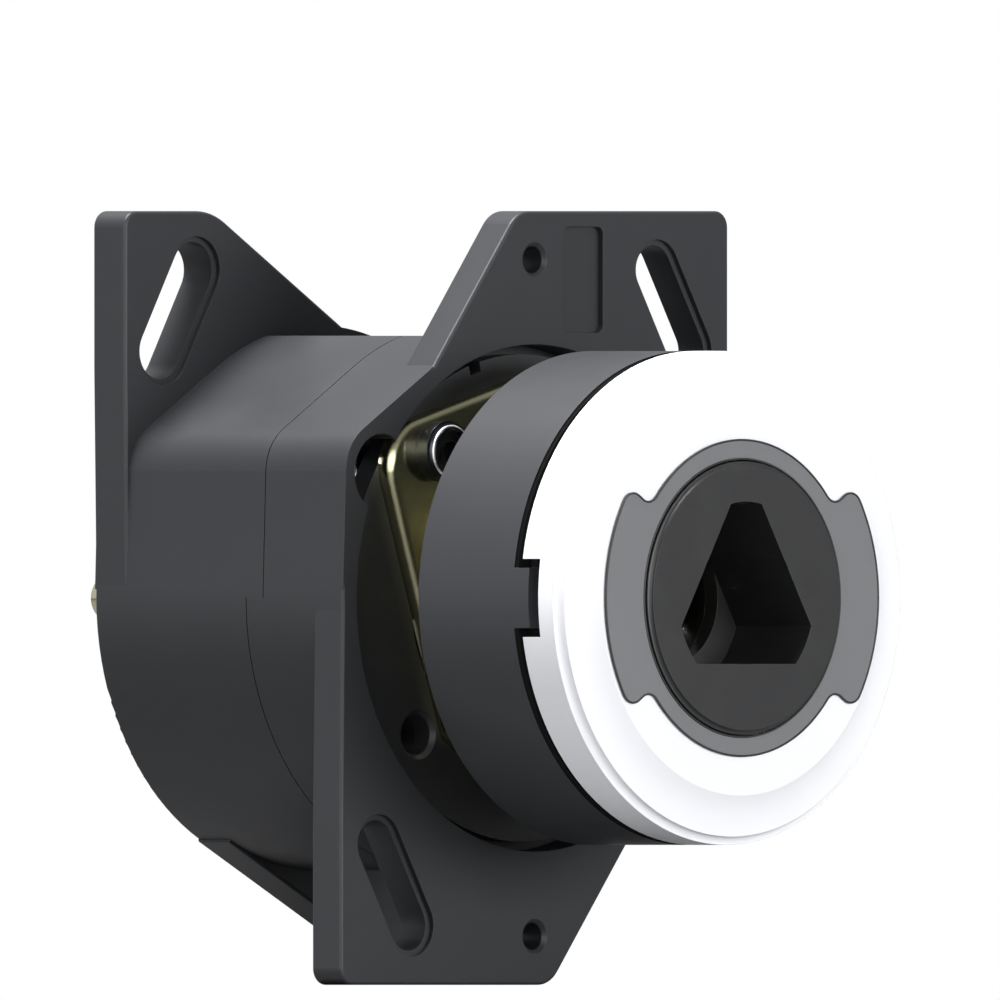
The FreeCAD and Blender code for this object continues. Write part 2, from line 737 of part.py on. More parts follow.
def build_screws(label, seat, place, lean, length, shank, head, high, dish, recess):
    """Turn a pair of pan-head screws that stand opposite each other."""
    body = new_body(label)
    across = f"{place} * cos({lean})"
    up = f"{place} * sin({lean})"
    rim = f"{head} / 5"
    screw = turn(body, [
        ("0", f"{seat} - {length}"),
        (f"{shank} / 2", f"{seat} - {length}"),
        (shank, f"{seat} - {length} + {shank} / 2"),
        (shank, seat),
        (head, seat),
        (head, f"{seat} + {high} - {rim}", rim),
        (f"{head} - {rim}", f"{seat} + {high}"),
        (dish, f"{seat} + {high}"),
        (dish, f"{seat} + {high} - clamp_dish_deep"),
        ("0", f"{seat} + {high} - clamp_dish_deep"),
    ], across=across, up=up)
    socket = new_sketch(body, "XZ_Plane", depth=f"{seat} + {high}")
    draw_hexagon(socket, recess, across, up)
    hole = extrude(body, socket, "clamp_dish_deep + clamp_recess_deep", cut=True)
    repeat(body, [screw, hole], "2")


def build_ring_plate():
    """Turn the carrier ring and drill its four countersunk holes and its key notch."""
    body = new_body("ring_plate")
    turn(body, [
        (RING_INNER, RING_BACK),
        (RING_RADIUS, RING_BACK),
        (RING_RADIUS, RING_FRONT),
        (RING_INNER, RING_FRONT),
    ])
    across = f"{SCREW_CIRCLE} * cos(boss_angle - clamp_offset)"
    up = f"{SCREW_CIRCLE} * sin(boss_angle - clamp_offset)"
    hole = turn(body, [
        ("0", RING_BACK),
        ("ring_hole_radius", RING_BACK),
        ("ring_hole_radius", f"{RING_FRONT} - ring_hole_mouth"),
        ("ring_hole_radius + ring_hole_mouth", RING_FRONT),
        ("0", RING_FRONT),
    ], cut=True, across=across, up=up)
    repeat(body, [hole], "4")
    key = new_sketch(body, "XZ_Plane", depth=RING_FRONT, lean="ring_key_angle")
    draw_outline(key, [
        ("-ring_key_wide / 2", f"{RING_RADIUS} - ring_key_deep"),
        ("ring_key_wide / 2", f"{RING_RADIUS} - ring_key_deep"),
        ("ring_key_wide / 2", f"{RING_RADIUS} + ring_key_deep"),
        ("-ring_key_wide / 2", f"{RING_RADIUS} + ring_key_deep"),
    ])
    extrude(body, key, "ring_thick", cut=True)


def build_base_block():
    """Forge and turn the base block that clamps to the ring and holds the service valve."""
    body = new_body("base_block")
    turn(body, [
        ("socket_bore", "hub_front"),
        ("socket_bore", "-socket_bore_deep"),
        ("valve_throat", "-socket_bore_deep"),
        ("valve_throat", "-service_seat"),
        ("service_chamber", "-service_seat"),
        ("service_chamber", "-nipple_bore_front"),
        ("nipple_spigot + thread_gap", "-nipple_bore_front"),
        ("nipple_spigot + thread_gap", "-body_rear"),
        ("body_radius", "-body_rear"),
        ("body_radius", PLATE_FRONT),
        ("hub_radius", PLATE_FRONT),
        ("hub_radius", "hub_front"),
    ])
    plate = new_sketch(body, "XZ_Plane", depth=RING_FRONT, lean="plate_lean")
    corners = []
    for flip, back in (("-", ""), ("", "-")):
        corners += [
            (f"{flip}({PLATE_HALF_WIDE} - plate_round)", f"{back}{PLATE_HALF_HIGH}", "plate_round"),
            (f"{flip}{PLATE_HALF_WIDE}", f"{back}({PLATE_HALF_HIGH} - plate_round)"),
            (f"{flip}({PLATE_HALF_WIDE} - plate_taper)", f"{flip}plate_cut_up"),
            (f"{flip}plate_cut_across", f"{flip}{PLATE_HALF_HIGH}"),
        ]
    draw_outline(plate, corners)
    draw_circle(plate, "(body_radius + socket_bore) / 2")
    extrude(body, plate, "plate_thick")
    hole = new_sketch(body, "XZ_Plane", depth=PLATE_FRONT, lean="boss_angle - clamp_offset")
    draw_circle(hole, "clamp_screw_radius + screw_clearance", SCREW_CIRCLE)
    cut = extrude(body, hole, "plate_thick", cut=True)
    repeat(body, [cut], "2")
    reach = number("body_radius + plate_edge")
    soften(body, "Fillet", "plate_corner_edge", lambda edge: (
        lies_at(edge, PLATE_FRONT) and edge.Curve.TypeId == "Part::GeomCircle" and not edge.isClosed()
    ))
    soften(body, "Chamfer", "plate_edge", lambda edge: (
        lies_at(edge, PLATE_FRONT) and edge.Curve.TypeId == "Part::GeomLine"
        and math.hypot(edge.CenterOfMass.x, edge.CenterOfMass.z) > reach
    ))


def build_ring(label, inner, outer, rear, front):
    """Turn a plain flat ring."""
    turn(new_body(label), [(inner, rear), (outer, rear), (outer, front), (inner, front)])


def build_socket_body():
    """Turn the socket body that the probe enters, from its nose to its threaded spigot."""
    body = new_body("socket_body")
    turn(body, [
        ("probe_bore", "socket_front"),
        ("probe_bore", "probe_seal_rear + probe_seal_wide"),
        ("probe_seal_groove", "probe_seal_rear + probe_seal_wide"),
        ("probe_seal_groove", "probe_seal_rear"),
        ("probe_bore", "probe_seal_rear"),
        ("probe_bore", "probe_floor"),
        ("check_throat", "probe_floor"),
        ("check_throat", "check_seat"),
        ("check_chamber", "check_seat"),
        ("check_chamber", RETAINER_FRONT),
        ("retainer_radius + thread_gap", RETAINER_FRONT),
        ("retainer_radius + thread_gap", RETAINER_REAR),
        ("socket_bore - thread_gap", RETAINER_REAR),
        ("socket_bore - thread_gap", "-o_ring_place - o_ring_wide / 2"),
        ("socket_bore - o_ring_deep", "-o_ring_place - o_ring_wide / 2"),
        ("socket_bore - o_ring_deep", "-o_ring_place + o_ring_wide / 2"),
        ("socket_bore - thread_gap", "-o_ring_place + o_ring_wide / 2"),
        ("socket_bore - thread_gap", SLEEVE_WEB_FRONT),
        ("clamp_flange_radius", SLEEVE_WEB_FRONT),
        ("clamp_flange_radius", CLAMP_FRONT),
        ("socket_nose_radius", CLAMP_FRONT),
        ("socket_nose_radius", "socket_front"),
    ])
    way = body.newObject("Sketcher::SketchObject", "socket_body_way")
    way.AttachmentSupport = (datum(body, "XY_Plane"), "")
    way.MapMode = "FlatFace"
    draw_circle(way, "lock_pin_radius + lock_pin_clearance", "0", "-lock_pin_place")
    drilled = body.newObject("PartDesign::Pocket", "socket_body_Pocket")
    drilled.Profile = way
    drilled.setExpression("Length", sized("clamp_flange_radius"))
    drilled.Reversed = True
    body.Tip = drilled
    repeat(body, [drilled], "lock_pins")


def build_retainer():
    """Turn the perforated plug that carries the check valve's spring and guide."""
    body = new_body("spring_plug")
    turn(body, [
        ("check_guide + guide_clearance", RETAINER_REAR),
        ("retainer_radius", RETAINER_REAR),
        ("retainer_radius", RETAINER_FRONT),
        ("check_guide + guide_clearance", RETAINER_FRONT),
    ])
    hole = new_sketch(body, "XZ_Plane", depth=RETAINER_FRONT)
    draw_circle(hole, "retainer_hole", "retainer_hole_circle")
    repeat(body, [extrude(body, hole, "retainer_thick", cut=True)], "6")


def build_check_poppet():
    """Turn the check valve's poppet, which the probe's nose pushes back."""
    turn(new_body("check_poppet"), [
        ("0", f"{CHECK_HEAD_REAR} - check_guide_length"),
        ("check_guide", f"{CHECK_HEAD_REAR} - check_guide_length"),
        ("check_guide", CHECK_HEAD_REAR),
        ("check_head_radius", CHECK_HEAD_REAR),
        ("check_head_radius", CHECK_HEAD_FRONT),
        ("check_stem", CHECK_HEAD_FRONT),
        ("check_stem", "check_stem_front - check_stem / 3"),
        ("check_stem * 2 / 3", "check_stem_front"),
        ("0", "check_stem_front"),
    ])


def build_service_poppet():
    """Turn the service valve's poppet, which the socket body holds open."""
    turn(new_body("service_poppet"), [
        ("0", f"{SERVICE_HEAD_REAR} - service_guide_length"),
        ("service_guide", f"{SERVICE_HEAD_REAR} - service_guide_length"),
        ("service_guide", SERVICE_HEAD_REAR),
        ("service_head_radius", SERVICE_HEAD_REAR),
        ("service_head_radius", SERVICE_HEAD_FRONT),
        ("crown_radius", SERVICE_HEAD_FRONT),
        ("crown_radius", f"{RETAINER_REAR} - stop_gap"),
        ("crown_inner", f"{RETAINER_REAR} - stop_gap"),
        ("crown_inner", f"{RETAINER_REAR} - stop_gap - crown_cup"),
        ("0", f"{RETAINER_REAR} - stop_gap - crown_cup"),
    ])


def build_inlet_nipple():
    """Turn the hexagon nipple that closes the valve chamber and takes the union nut."""
    body = new_body("inlet_nipple")
    turn(body, [
        ("inlet_bore", "-nipple_bore_front - thread_gap"),
        ("inlet_bore", NIPPLE_REAR),
        ("nipple_tail", NIPPLE_REAR),
        ("nipple_tail", NIPPLE_HEX_FRONT),
        ("nipple_spigot", NIPPLE_HEX_FRONT),
        ("nipple_spigot", "-nipple_bore_front - thread_gap"),
    ])
    flats = new_sketch(body, "XZ_Plane", depth=NIPPLE_HEX_REAR)
    draw_hexagon(flats, "nipple_hex")
    draw_circle(flats, "(inlet_bore + nipple_tail) / 2")
    extrude(body, flats, "nipple_hex_thick")


def build_union_nut():
    """Cut the union nut that draws the hose tail onto the nipple."""
    body = new_body("union_nut")
    flats = new_sketch(body, "XZ_Plane", depth=NUT_REAR)
    draw_hexagon(flats, "nut_hex")
    extrude(body, flats, f"{NUT_FRONT} - {NUT_REAR}")
    turn(body, [
        ("0", NUT_REAR),
        ("nut_throat", NUT_REAR),
        ("nut_throat", f"{NUT_REAR} + nut_web"),
        ("nipple_tail + thread_gap", f"{NUT_REAR} + nut_web"),
        ("nipple_tail + thread_gap", NUT_FRONT),
        ("0", NUT_FRONT),
    ], cut=True)
    reach = "nut_hex / sqrt(3)"
    turn(body, [
        (f"{reach} * 0.9", NUT_REAR),
        (reach, f"{NUT_REAR} + {reach} * 0.06"),
        (f"{reach} * 1.1", f"{NUT_REAR} + {reach} * 0.06"),
        (f"{reach} * 1.1", NUT_REAR),
    ], cut=True)


def build_hose_tail():
    """Turn the hose tail with its collar and its row of barbs."""
    body = new_body("hose_tail")
    pitch = "((tail_end - tail_neck_rear) / barb_count)"
    corners = [
        ("tail_bore", NIPPLE_REAR),
        ("tail_bore", "-tail_end"),
        ("barb_root", "-tail_end"),
    ]
    for step in range(int(SIZES["barb_count"])):
        top = f"(-tail_end + {pitch} * {step + 1})"
        corners.append(("barb_radius", f"{top} - {pitch} / 8"))
        corners.append(("barb_radius" if step == SIZES["barb_count"] - 1 else "barb_root + barb_step", top))
    corners += [
        ("tail_neck", "-tail_neck_rear"),
        ("tail_neck", COLLAR_REAR),
        ("tail_collar", COLLAR_REAR),
        ("tail_collar", NIPPLE_REAR),
    ]
    turn(body, corners)


def build_lock_pin(step):
    """Cut one locking pin with a round nose and a back sloped to the lock sleeve's cone."""
    body = new_body(f"lock_pin_{step + 1}")
    disc = new_sketch(body, "XY_Plane", depth="lock_pin_tip")
    draw_circle(disc, "lock_pin_radius", "0", "-lock_pin_place")
    extrude(body, disc, "lock_pin_reach - lock_pin_tip")
    back = new_sketch(body, "YZ_Plane")
    low = "-(lock_pin_place - 2 * lock_pin_radius)"
    high = "-(lock_pin_place + 2 * lock_pin_radius)"
    wall = "cone_foot - cone_foot_place - cone_clearance"
    draw_outline(back, [
        (low, f"{wall} - {low}"),
        (low, f"{wall} - {high}"),
        (high, f"{wall} - {high}"),
    ])
    extrude(body, back, "4 * lock_pin_radius", cut=True, whole=True)
    body.setExpression(".Placement.Rotation.Angle", sized(f"360 * {step} / lock_pins"))
    body.Placement.Rotation.Axis = FreeCAD.Vector(0, 1, 0)


def build_lock_sleeve():
    """Turn the lock sleeve, whose inner cone holds the locking pins in."""
    turn(new_body("lock_sleeve"), [
        ("cone_foot", "lock_rear"),
        ("lock_tail_radius", "lock_rear"),
        ("lock_tail_radius", "lock_shoulder"),
        ("lock_radius", "lock_shoulder"),
        ("lock_radius", LOCK_FLANGE_REAR),
        ("lock_flange_radius", LOCK_FLANGE_REAR),
        ("lock_flange_radius", LOCK_FRONT),
        ("insert_shank + slide_clearance", LOCK_FRONT),
        ("insert_shank + slide_clearance", "relief_front"),
        ("cone_foot + cone_rise", "relief_front"),
        ("cone_foot + cone_rise", "cone_foot_place + cone_rise"),
        ("cone_foot", "cone_foot_place"),
    ])


def build_gas_insert():
    """Mould the keyed insert, whose three-sided mouth takes one gas probe only."""
    body = new_body("gas_insert")
    turn(body, [
        ("probe_bore", "insert_face"),
        ("probe_bore", "socket_front + thread_gap"),
        ("socket_nose_radius + thread_gap", "socket_front + thread_gap"),
        ("socket_nose_radius + thread_gap", INSERT_REAR),
        ("insert_shank", INSERT_REAR),
        ("insert_shank", INSERT_HEAD_REAR),
        ("insert_radius", INSERT_HEAD_REAR),
        ("insert_radius", "insert_face - insert_edge", "insert_edge"),
        ("insert_radius - insert_edge", "insert_face"),
    ])
    half = "sqrt(key_corner * key_corner - key_inradius * key_inradius)"
    corners = []
    for step in range(3):
        normal = 120 * step - 90
        for side, bend in ((-1, False), (1, True)):
            along = normal + 90
            across = f"key_inradius * cos({normal}) + {side} * {half} * cos({along})"
            up = f"key_inradius * sin({normal}) + {side} * {half} * sin({along})"
            corners.append((across, up, "key_corner") if bend else (across, up))
    mouth = new_sketch(body, "XZ_Plane", depth="insert_face")
    draw_outline(mouth, corners)
    extrude(body, mouth, "key_deep", cut=True)


def build_outer_sleeve():
    """Mould the fixed outer sleeve with its clamped web and its guide tab."""
    body = new_body("outer_sleeve")
    turn(body, [
        ("socket_bore", "hub_front"),
        ("sleeve_radius - sleeve_edge", "hub_front", "sleeve_edge"),
        ("sleeve_radius", "hub_front + sleeve_edge"),
        ("sleeve_radius", f"{SLEEVE_FRONT} - sleeve_edge", "sleeve_edge"),
        ("sleeve_radius - sleeve_edge", SLEEVE_FRONT),
        (SPIGOT, SLEEVE_FRONT),
        (SPIGOT, f"{SLEEVE_FRONT} + sleeve_spigot_length"),
        (f"{SPIGOT} - sleeve_spigot_step", f"{SLEEVE_FRONT} + sleeve_spigot_length"),
        (f"{SPIGOT} - sleeve_spigot_step", SLEEVE_WEB_FRONT),
        ("socket_bore", SLEEVE_WEB_FRONT),
    ])
    tab = new_sketch(body, "XZ_Plane", depth=f"{SLEEVE_FRONT} - sleeve_edge")
    tip = "-sqrt(sleeve_radius * sleeve_radius - sleeve_tab_high * sleeve_tab_high / 4)"
    draw_outline(tab, [
        (f"-{SPIGOT} + sleeve_edge", "-sleeve_tab_high / 2"),
        (f"-{SPIGOT} + sleeve_edge", "sleeve_tab_high / 2"),
        (tip, "sleeve_tab_high / 2", "sleeve_radius"),
        (tip, "-sleeve_tab_high / 2"),
    ])
    extrude(body, tab, "sleeve_tab_length + sleeve_edge")


def build_release_cap():
    """Mould the release cap with its band, dome, inner collar, snap bead and guide notch."""
    body = new_body("release_cap")
    dome = "(cap_dome_run * cap_dome_run + cap_dome_rise * cap_dome_rise) / (2 * cap_dome_rise)"
    turn(body, [
        (CAP_INNER, CAP_REAR),
        ("sleeve_radius", CAP_REAR),
        ("sleeve_radius", CAP_BAND, "cap_round"),
        ("sleeve_radius - cap_round", CAP_SHOULDER),
        (CAP_SHOULDER_RADIUS, CAP_SHOULDER, dome),
        (CAP_FLAT_RADIUS, CAP_FACE),
        ("cap_bore", CAP_FACE),
        ("cap_bore", LOCK_FRONT),
        (COLLAR_INNER, LOCK_FRONT),
        (COLLAR_INNER, f"{LOCK_FLANGE_REAR} - cap_bead_gap"),
        (f"{COLLAR_INNER} - cap_bead", f"{LOCK_FLANGE_REAR} - cap_bead_gap - cap_bead"),
        (COLLAR_INNER, f"{LOCK_FLANGE_REAR} - cap_bead_gap - 2 * cap_bead"),
        (COLLAR_INNER, CAP_COLLAR_REAR),
        (f"{COLLAR_INNER} + cap_collar_wall", CAP_COLLAR_REAR),
        (f"{COLLAR_INNER} + cap_collar_wall", CAP_ROOF),
        (CAP_INNER, CAP_ROOF),
    ])
    notch = new_sketch(body, "XZ_Plane", depth=f"{CAP_REAR} + cap_notch_deep")
    draw_outline(notch, [
        ("-sleeve_radius - cap_round", "-cap_notch_high / 2"),
        (f"-{CAP_INNER} + cap_round", "-cap_notch_high / 2"),
        (f"-{CAP_INNER} + cap_round", "cap_notch_high / 2"),
        ("-sleeve_radius - cap_round", "cap_notch_high / 2"),
    ])
    extrude(body, notch, "cap_notch_deep", cut=True)


def build_label_plate():
    """Cut the plain label plate with a rounded tab at each side."""
    body = new_body("label_plate")
    disc = new_sketch(body, "XZ_Plane", depth=CAP_FACE)
    draw_circle(disc, "label_radius")
    draw_circle(disc, "cap_bore")
    extrude(body, disc, "label_thick")
    tab = new_sketch(body, "XZ_Plane", depth=CAP_FACE)
    cosine = "cos(label_tab_half)"
    sine = "sin(label_tab_half)"
    inner = "(label_radius + cap_bore) / 2"
    draw_outline(tab, [
        (f"{inner} * {cosine}", f"-{inner} * {sine}"),
        (f"{LABEL_TAB_RADIUS} * {cosine}", f"-{LABEL_TAB_RADIUS} * {sine}", LABEL_TAB_RADIUS),
        (f"{LABEL_TAB_RADIUS} * {cosine}", f"{LABEL_TAB_RADIUS} * {sine}"),
        (f"{inner} * {cosine}", f"{inner} * {sine}", f"-{inner}"),
    ])
    repeat(body, [extrude(body, tab, "label_thick")], "2")
    soften(body, "Fillet", LABEL_CORNER, lambda edge: runs_back(edge, [
        (f"{LABEL_TAB_RADIUS} * {cosine}", f"{LABEL_TAB_RADIUS} * {sine}"),
        (f"-{LABEL_TAB_RADIUS} * {cosine}", f"{LABEL_TAB_RADIUS} * {sine}"),
        (f"label_radius * {cosine}", f"label_radius * {sine}"),
        (f"-label_radius * {cosine}", f"label_radius * {sine}"),
    ]))


def build_coil(label, radius, wire, turns, rear, front):
    """Wind a compression spring of square wire between two seats."""
    body = new_body(label)
    section = new_sketch(body, "XY_Plane")
    low = f"-({rear}) - spring_seat_gap - {wire}"
    draw_outline(section, [
        (f"{radius} - {wire} / 2", low),
        (f"{radius} + {wire} / 2", low),
        (f"{radius} + {wire} / 2", f"{low} + {wire}"),
        (f"{radius} - {wire} / 2", f"{low} + {wire}"),
    ])
    coil = body.newObject("PartDesign::AdditiveHelix", f"{label}_coil")
    coil.Profile = section
    coil.ReferenceAxis = (section, ["V_Axis"])
    coil.Mode = 2
    coil.Reversed = True
    coil.setExpression("Height", sized(f"{front} - ({rear}) - 2 * spring_seat_gap - {wire}"))
    coil.setExpression("Turns", sized(turns))
    body.Tip = coil


def check_document():
    """Stop where any object failed or any sub-part is empty or broken."""
    for item in doc.Objects:
        if "Invalid" in item.State or "Error" in item.State:
            raise RuntimeError(f"{item.Name} failed: {item.State}")
    for item in SUBPARTS:
        if item.Shape.isNull() or not item.Shape.isValid():
            raise RuntimeError(f"{item.Label} has no valid shape")


build_rear_housing()
build_front_flange()
build_screws(
    "housing_screws", "(-channel_deep)", BOSS_PLACE, "boss_angle", "long_screw_length",
    "long_screw_radius", "long_head_radius", "long_head_high", "clamp_dish_radius", "clamp_recess_across",
)
build_ring_plate()
build_base_block()
build_screws(
    "clamp_screws", PLATE_FRONT, SCREW_CIRCLE, "(boss_angle - clamp_offset)", "clamp_screw_length",
    "clamp_screw_radius", "clamp_head_radius", "clamp_head_high", "clamp_dish_radius", "clamp_recess_across",
)
build_service_poppet()
build_ring(
    "service_seal", "crown_radius", "service_seal_radius",
    SERVICE_HEAD_FRONT, f"({SERVICE_HEAD_FRONT} + service_seal_thick)",
)
build_coil(
    "service_spring", "service_coil", "service_wire", "service_turns",
    "(-nipple_bore_front - thread_gap)", SERVICE_HEAD_REAR,
)
build_inlet_nipple()
build_ring("nipple_washer", "nipple_spigot", "washer_radius", "(-body_rear - washer_thick)", "(-body_rear)")
build_union_nut()
build_hose_tail()
build_socket_body()
build_ring(
    "socket_o_ring", "socket_bore - o_ring_deep", "socket_bore",
    "(-o_ring_place - o_ring_wide / 2)", "(-o_ring_place + o_ring_wide / 2)",
)
build_ring(
    "probe_seal", "probe_seal_inner", "probe_seal_groove",
    "probe_seal_rear", "(probe_seal_rear + probe_seal_wide)",
)
build_retainer()
build_check_poppet()
build_ring("check_seal", "check_stem", "check_seal_radius", CHECK_HEAD_FRONT, "check_seat")
build_coil("check_spring", "check_coil", "check_wire", "check_turns", RETAINER_FRONT, CHECK_HEAD_REAR)
build_lock_sleeve()
for pin_step in range(int(SIZES["lock_pins"])):
    build_lock_pin(pin_step)
build_coil(
    "release_spring", "lock_tail_radius + slide_clearance + release_wire / 2", "release_wire",
    "release_turns", CLAMP_FRONT, "lock_shoulder",
)
build_gas_insert()
build_outer_sleeve()
build_release_cap()
build_label_plate()
doc.recompute()
check_document()
os.makedirs("parts", exist_ok=True)
for item in SUBPARTS:
    item.Shape.exportStep(f"parts/{item.Label}.step")
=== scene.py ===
"""Dresses the wall outlet for medical air: finishes, fine pieces, studio and camera."""

import json
import logging
import math
from collections.abc import Sequence
from dataclasses import dataclass
from enum import Enum

import bmesh
import bpy
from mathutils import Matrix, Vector

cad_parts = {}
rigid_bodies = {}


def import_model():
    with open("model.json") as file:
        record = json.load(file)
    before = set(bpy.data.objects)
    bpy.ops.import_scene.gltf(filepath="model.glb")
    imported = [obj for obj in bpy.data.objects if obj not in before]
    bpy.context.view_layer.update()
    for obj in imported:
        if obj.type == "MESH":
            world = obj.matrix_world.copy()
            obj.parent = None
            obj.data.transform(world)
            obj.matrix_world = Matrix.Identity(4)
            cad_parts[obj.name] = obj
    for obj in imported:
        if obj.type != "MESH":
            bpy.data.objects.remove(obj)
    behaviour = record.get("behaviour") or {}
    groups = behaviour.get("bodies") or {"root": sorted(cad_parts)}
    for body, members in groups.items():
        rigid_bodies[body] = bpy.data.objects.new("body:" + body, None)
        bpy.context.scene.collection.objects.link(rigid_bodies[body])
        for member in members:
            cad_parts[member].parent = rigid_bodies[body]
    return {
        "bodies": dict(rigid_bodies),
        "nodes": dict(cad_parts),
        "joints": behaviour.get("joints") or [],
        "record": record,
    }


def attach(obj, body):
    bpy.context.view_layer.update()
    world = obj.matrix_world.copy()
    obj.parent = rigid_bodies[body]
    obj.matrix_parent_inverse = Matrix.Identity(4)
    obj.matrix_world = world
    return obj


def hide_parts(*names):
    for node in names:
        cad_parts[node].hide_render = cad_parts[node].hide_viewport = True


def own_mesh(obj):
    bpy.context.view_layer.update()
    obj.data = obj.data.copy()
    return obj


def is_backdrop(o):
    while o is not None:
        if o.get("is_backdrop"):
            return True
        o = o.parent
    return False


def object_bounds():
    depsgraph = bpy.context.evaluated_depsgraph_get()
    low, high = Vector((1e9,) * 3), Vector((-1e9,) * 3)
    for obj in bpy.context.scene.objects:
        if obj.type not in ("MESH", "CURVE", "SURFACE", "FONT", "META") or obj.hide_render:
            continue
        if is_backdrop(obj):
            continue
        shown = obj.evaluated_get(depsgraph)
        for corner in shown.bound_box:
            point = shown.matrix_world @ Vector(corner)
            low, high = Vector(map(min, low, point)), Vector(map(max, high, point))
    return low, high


LOG = logging.getLogger("outlet")
MILLI = 0.001
FULL_TURN = 2 * math.pi
PIXELS_PER_MILLIMETRE = 8.233
PHOTO_WIDTH = 1000.0
# Share of a section's half width that its corners take, so that two corners never meet in a point
FULL_BEND = 0.98
# Most of a noise's values lie between these two
NOISE_RANGE = (0.3, 0.7)

Colour = tuple[float, float, float, float]
Place = tuple[float, float, float]
Socket = bpy.types.NodeSocket
Sockets = bpy.types.bpy_prop_collection
# What an input socket takes: another node's output, a number, a colour or a vector
Entry = Socket | float | tuple[float, ...]


class Slot(Enum):
    """The material slots of the outlet."""

    HOUSING = "housing"
    CARRIER = "carrier"
    SLEEVE = "sleeve"
    INSERT = "insert"
    CAP = "cap"
    LABEL = "label"
    BRASS = "brass"
    STEEL = "steel"
    SPRING = "spring"
    RUBBER = "rubber"
    FIBRE = "fibre"


class Tool(Enum):
    """The tool that left its marks on a metal face."""

    LATHE = "lathe"
    BRUSH = "brush"


def grey(tone: float, blue: float = 0.0) -> Colour:
    """Give a linear grey, a little bluer where asked.

    Args:
        tone: Linear brightness of the grey.
        blue: Share by which its blue is raised. Its green is raised by less.

    Returns:
        The colour with full alpha.
    """
    green = 0.3 * blue
    return (tone, tone * (1 + green), tone * (1 + blue), 1.0)


class Board:
    """A node tree with short ways to add and join its nodes."""

    def __init__(self, tree: bpy.types.NodeTree) -> None:
        """Take the tree of a material, a world or a group, which the nodes go into."""
        self.tree = tree

    def add(self, kind: str, **settings: object) -> bpy.types.Node:
        """Add a node and set its properties.

        Args:
            kind: The node's type name.
            settings: Properties of the node by name.

        Returns:
            The new node.
        """
        node = self.tree.nodes.new(kind)
        for name, value in settings.items():
            setattr(node, name, value)
        return node

    def feed(self, socket: Socket, value: Entry) -> None:
        """Give an input socket a link or a plain value.

        Args:
            socket: The input socket.
            value: An output socket, a number, a colour or a vector.
        """
        if isinstance(value, Socket):
            self.tree.links.new(value, socket)
        else:
            socket.default_value = value

    def reckon(self, operation: str, first: Entry, second: Entry = 0.0, clamp: bool = False) -> Socket:
        """Work out one step of arithmetic.

        Args:
            operation: The operation's name.
            first: The first operand.
            second: The second operand.
            clamp: Whether the result is kept between 0 and 1.

        Returns:
            The result's socket.
        """
        node = self.add("ShaderNodeMath", operation=operation, use_clamp=clamp)
        self.feed(node.inputs[0], first)
        self.feed(node.inputs[1], second)
        return node.outputs[0]

    def blend(self, share: Entry, first: Entry, second: Entry) -> Socket:
        """Mix two colours.

        Args:
            share: Share of the second colour.
            first: The first colour.
            second: The second colour.

        Returns:
            The mixed colour's socket.
        """
        node = self.add("ShaderNodeMix", data_type="RGBA")
        self.feed(node.inputs[0], share)
        self.feed(node.inputs[6], first)
        self.feed(node.inputs[7], second)
        return node.outputs[2]

    def weigh(self, share: Entry, first: Entry, second: Entry) -> Socket:
        """Mix two plain values.

        Args:
            share: Share of the second value.
            first: The first value.
            second: The second value.

        Returns:
            The mixed value's socket.
        """
        node = self.add("ShaderNodeMix", data_type="FLOAT")
        self.feed(node.inputs[0], share)
        self.feed(node.inputs[2], first)
        self.feed(node.inputs[3], second)
        return node.outputs[0]

    def spread(self, value: Entry, low: float, high: float, lowest: float, highest: float) -> Socket:
        """Stretch a value from one range onto another.

        Args:
            value: The value to stretch.
            low: Lower end of the value's range.
            high: Upper end of the value's range.
            lowest: Result at the lower end.
            highest: Result at the upper end.

        Returns:
            The stretched value's socket.
        """
        node = self.add("ShaderNodeMapRange")
        for place, entry in enumerate((value, low, high, lowest, highest)):
            self.feed(node.inputs[place], entry)
        return node.outputs[0]

    def noise(self, place: Entry, scale: Entry, detail: float = 2.0, rough: float = 0.5) -> Socket:
        """Sample fractal noise.

        Args:
            place: The point that the noise is read at.
            scale: Its scale.
            detail: Its number of octaves.
            rough: Its roughness.

        Returns:
            The noise value's socket.
        """
        node = self.add("ShaderNodeTexNoise")
        self.feed(node.inputs["Vector"], place)
        self.feed(node.inputs["Scale"], scale)
        node.inputs["Detail"].default_value = detail
        node.inputs["Roughness"].default_value = rough
        return node.outputs["Fac"]

    def spot(self) -> Socket:
        """Give the point of the surface, as the piece itself measures it."""
        return self.add("ShaderNodeTexCoord").outputs["Object"]

    def parts(self, vector: Entry) -> Sockets:
        """Take a vector apart.

        Args:
            vector: The vector.

        Returns:
            Its X, Y and Z by name.
        """
        node = self.add("ShaderNodeSeparateXYZ")
        self.feed(node.inputs[0], vector)
        return node.outputs


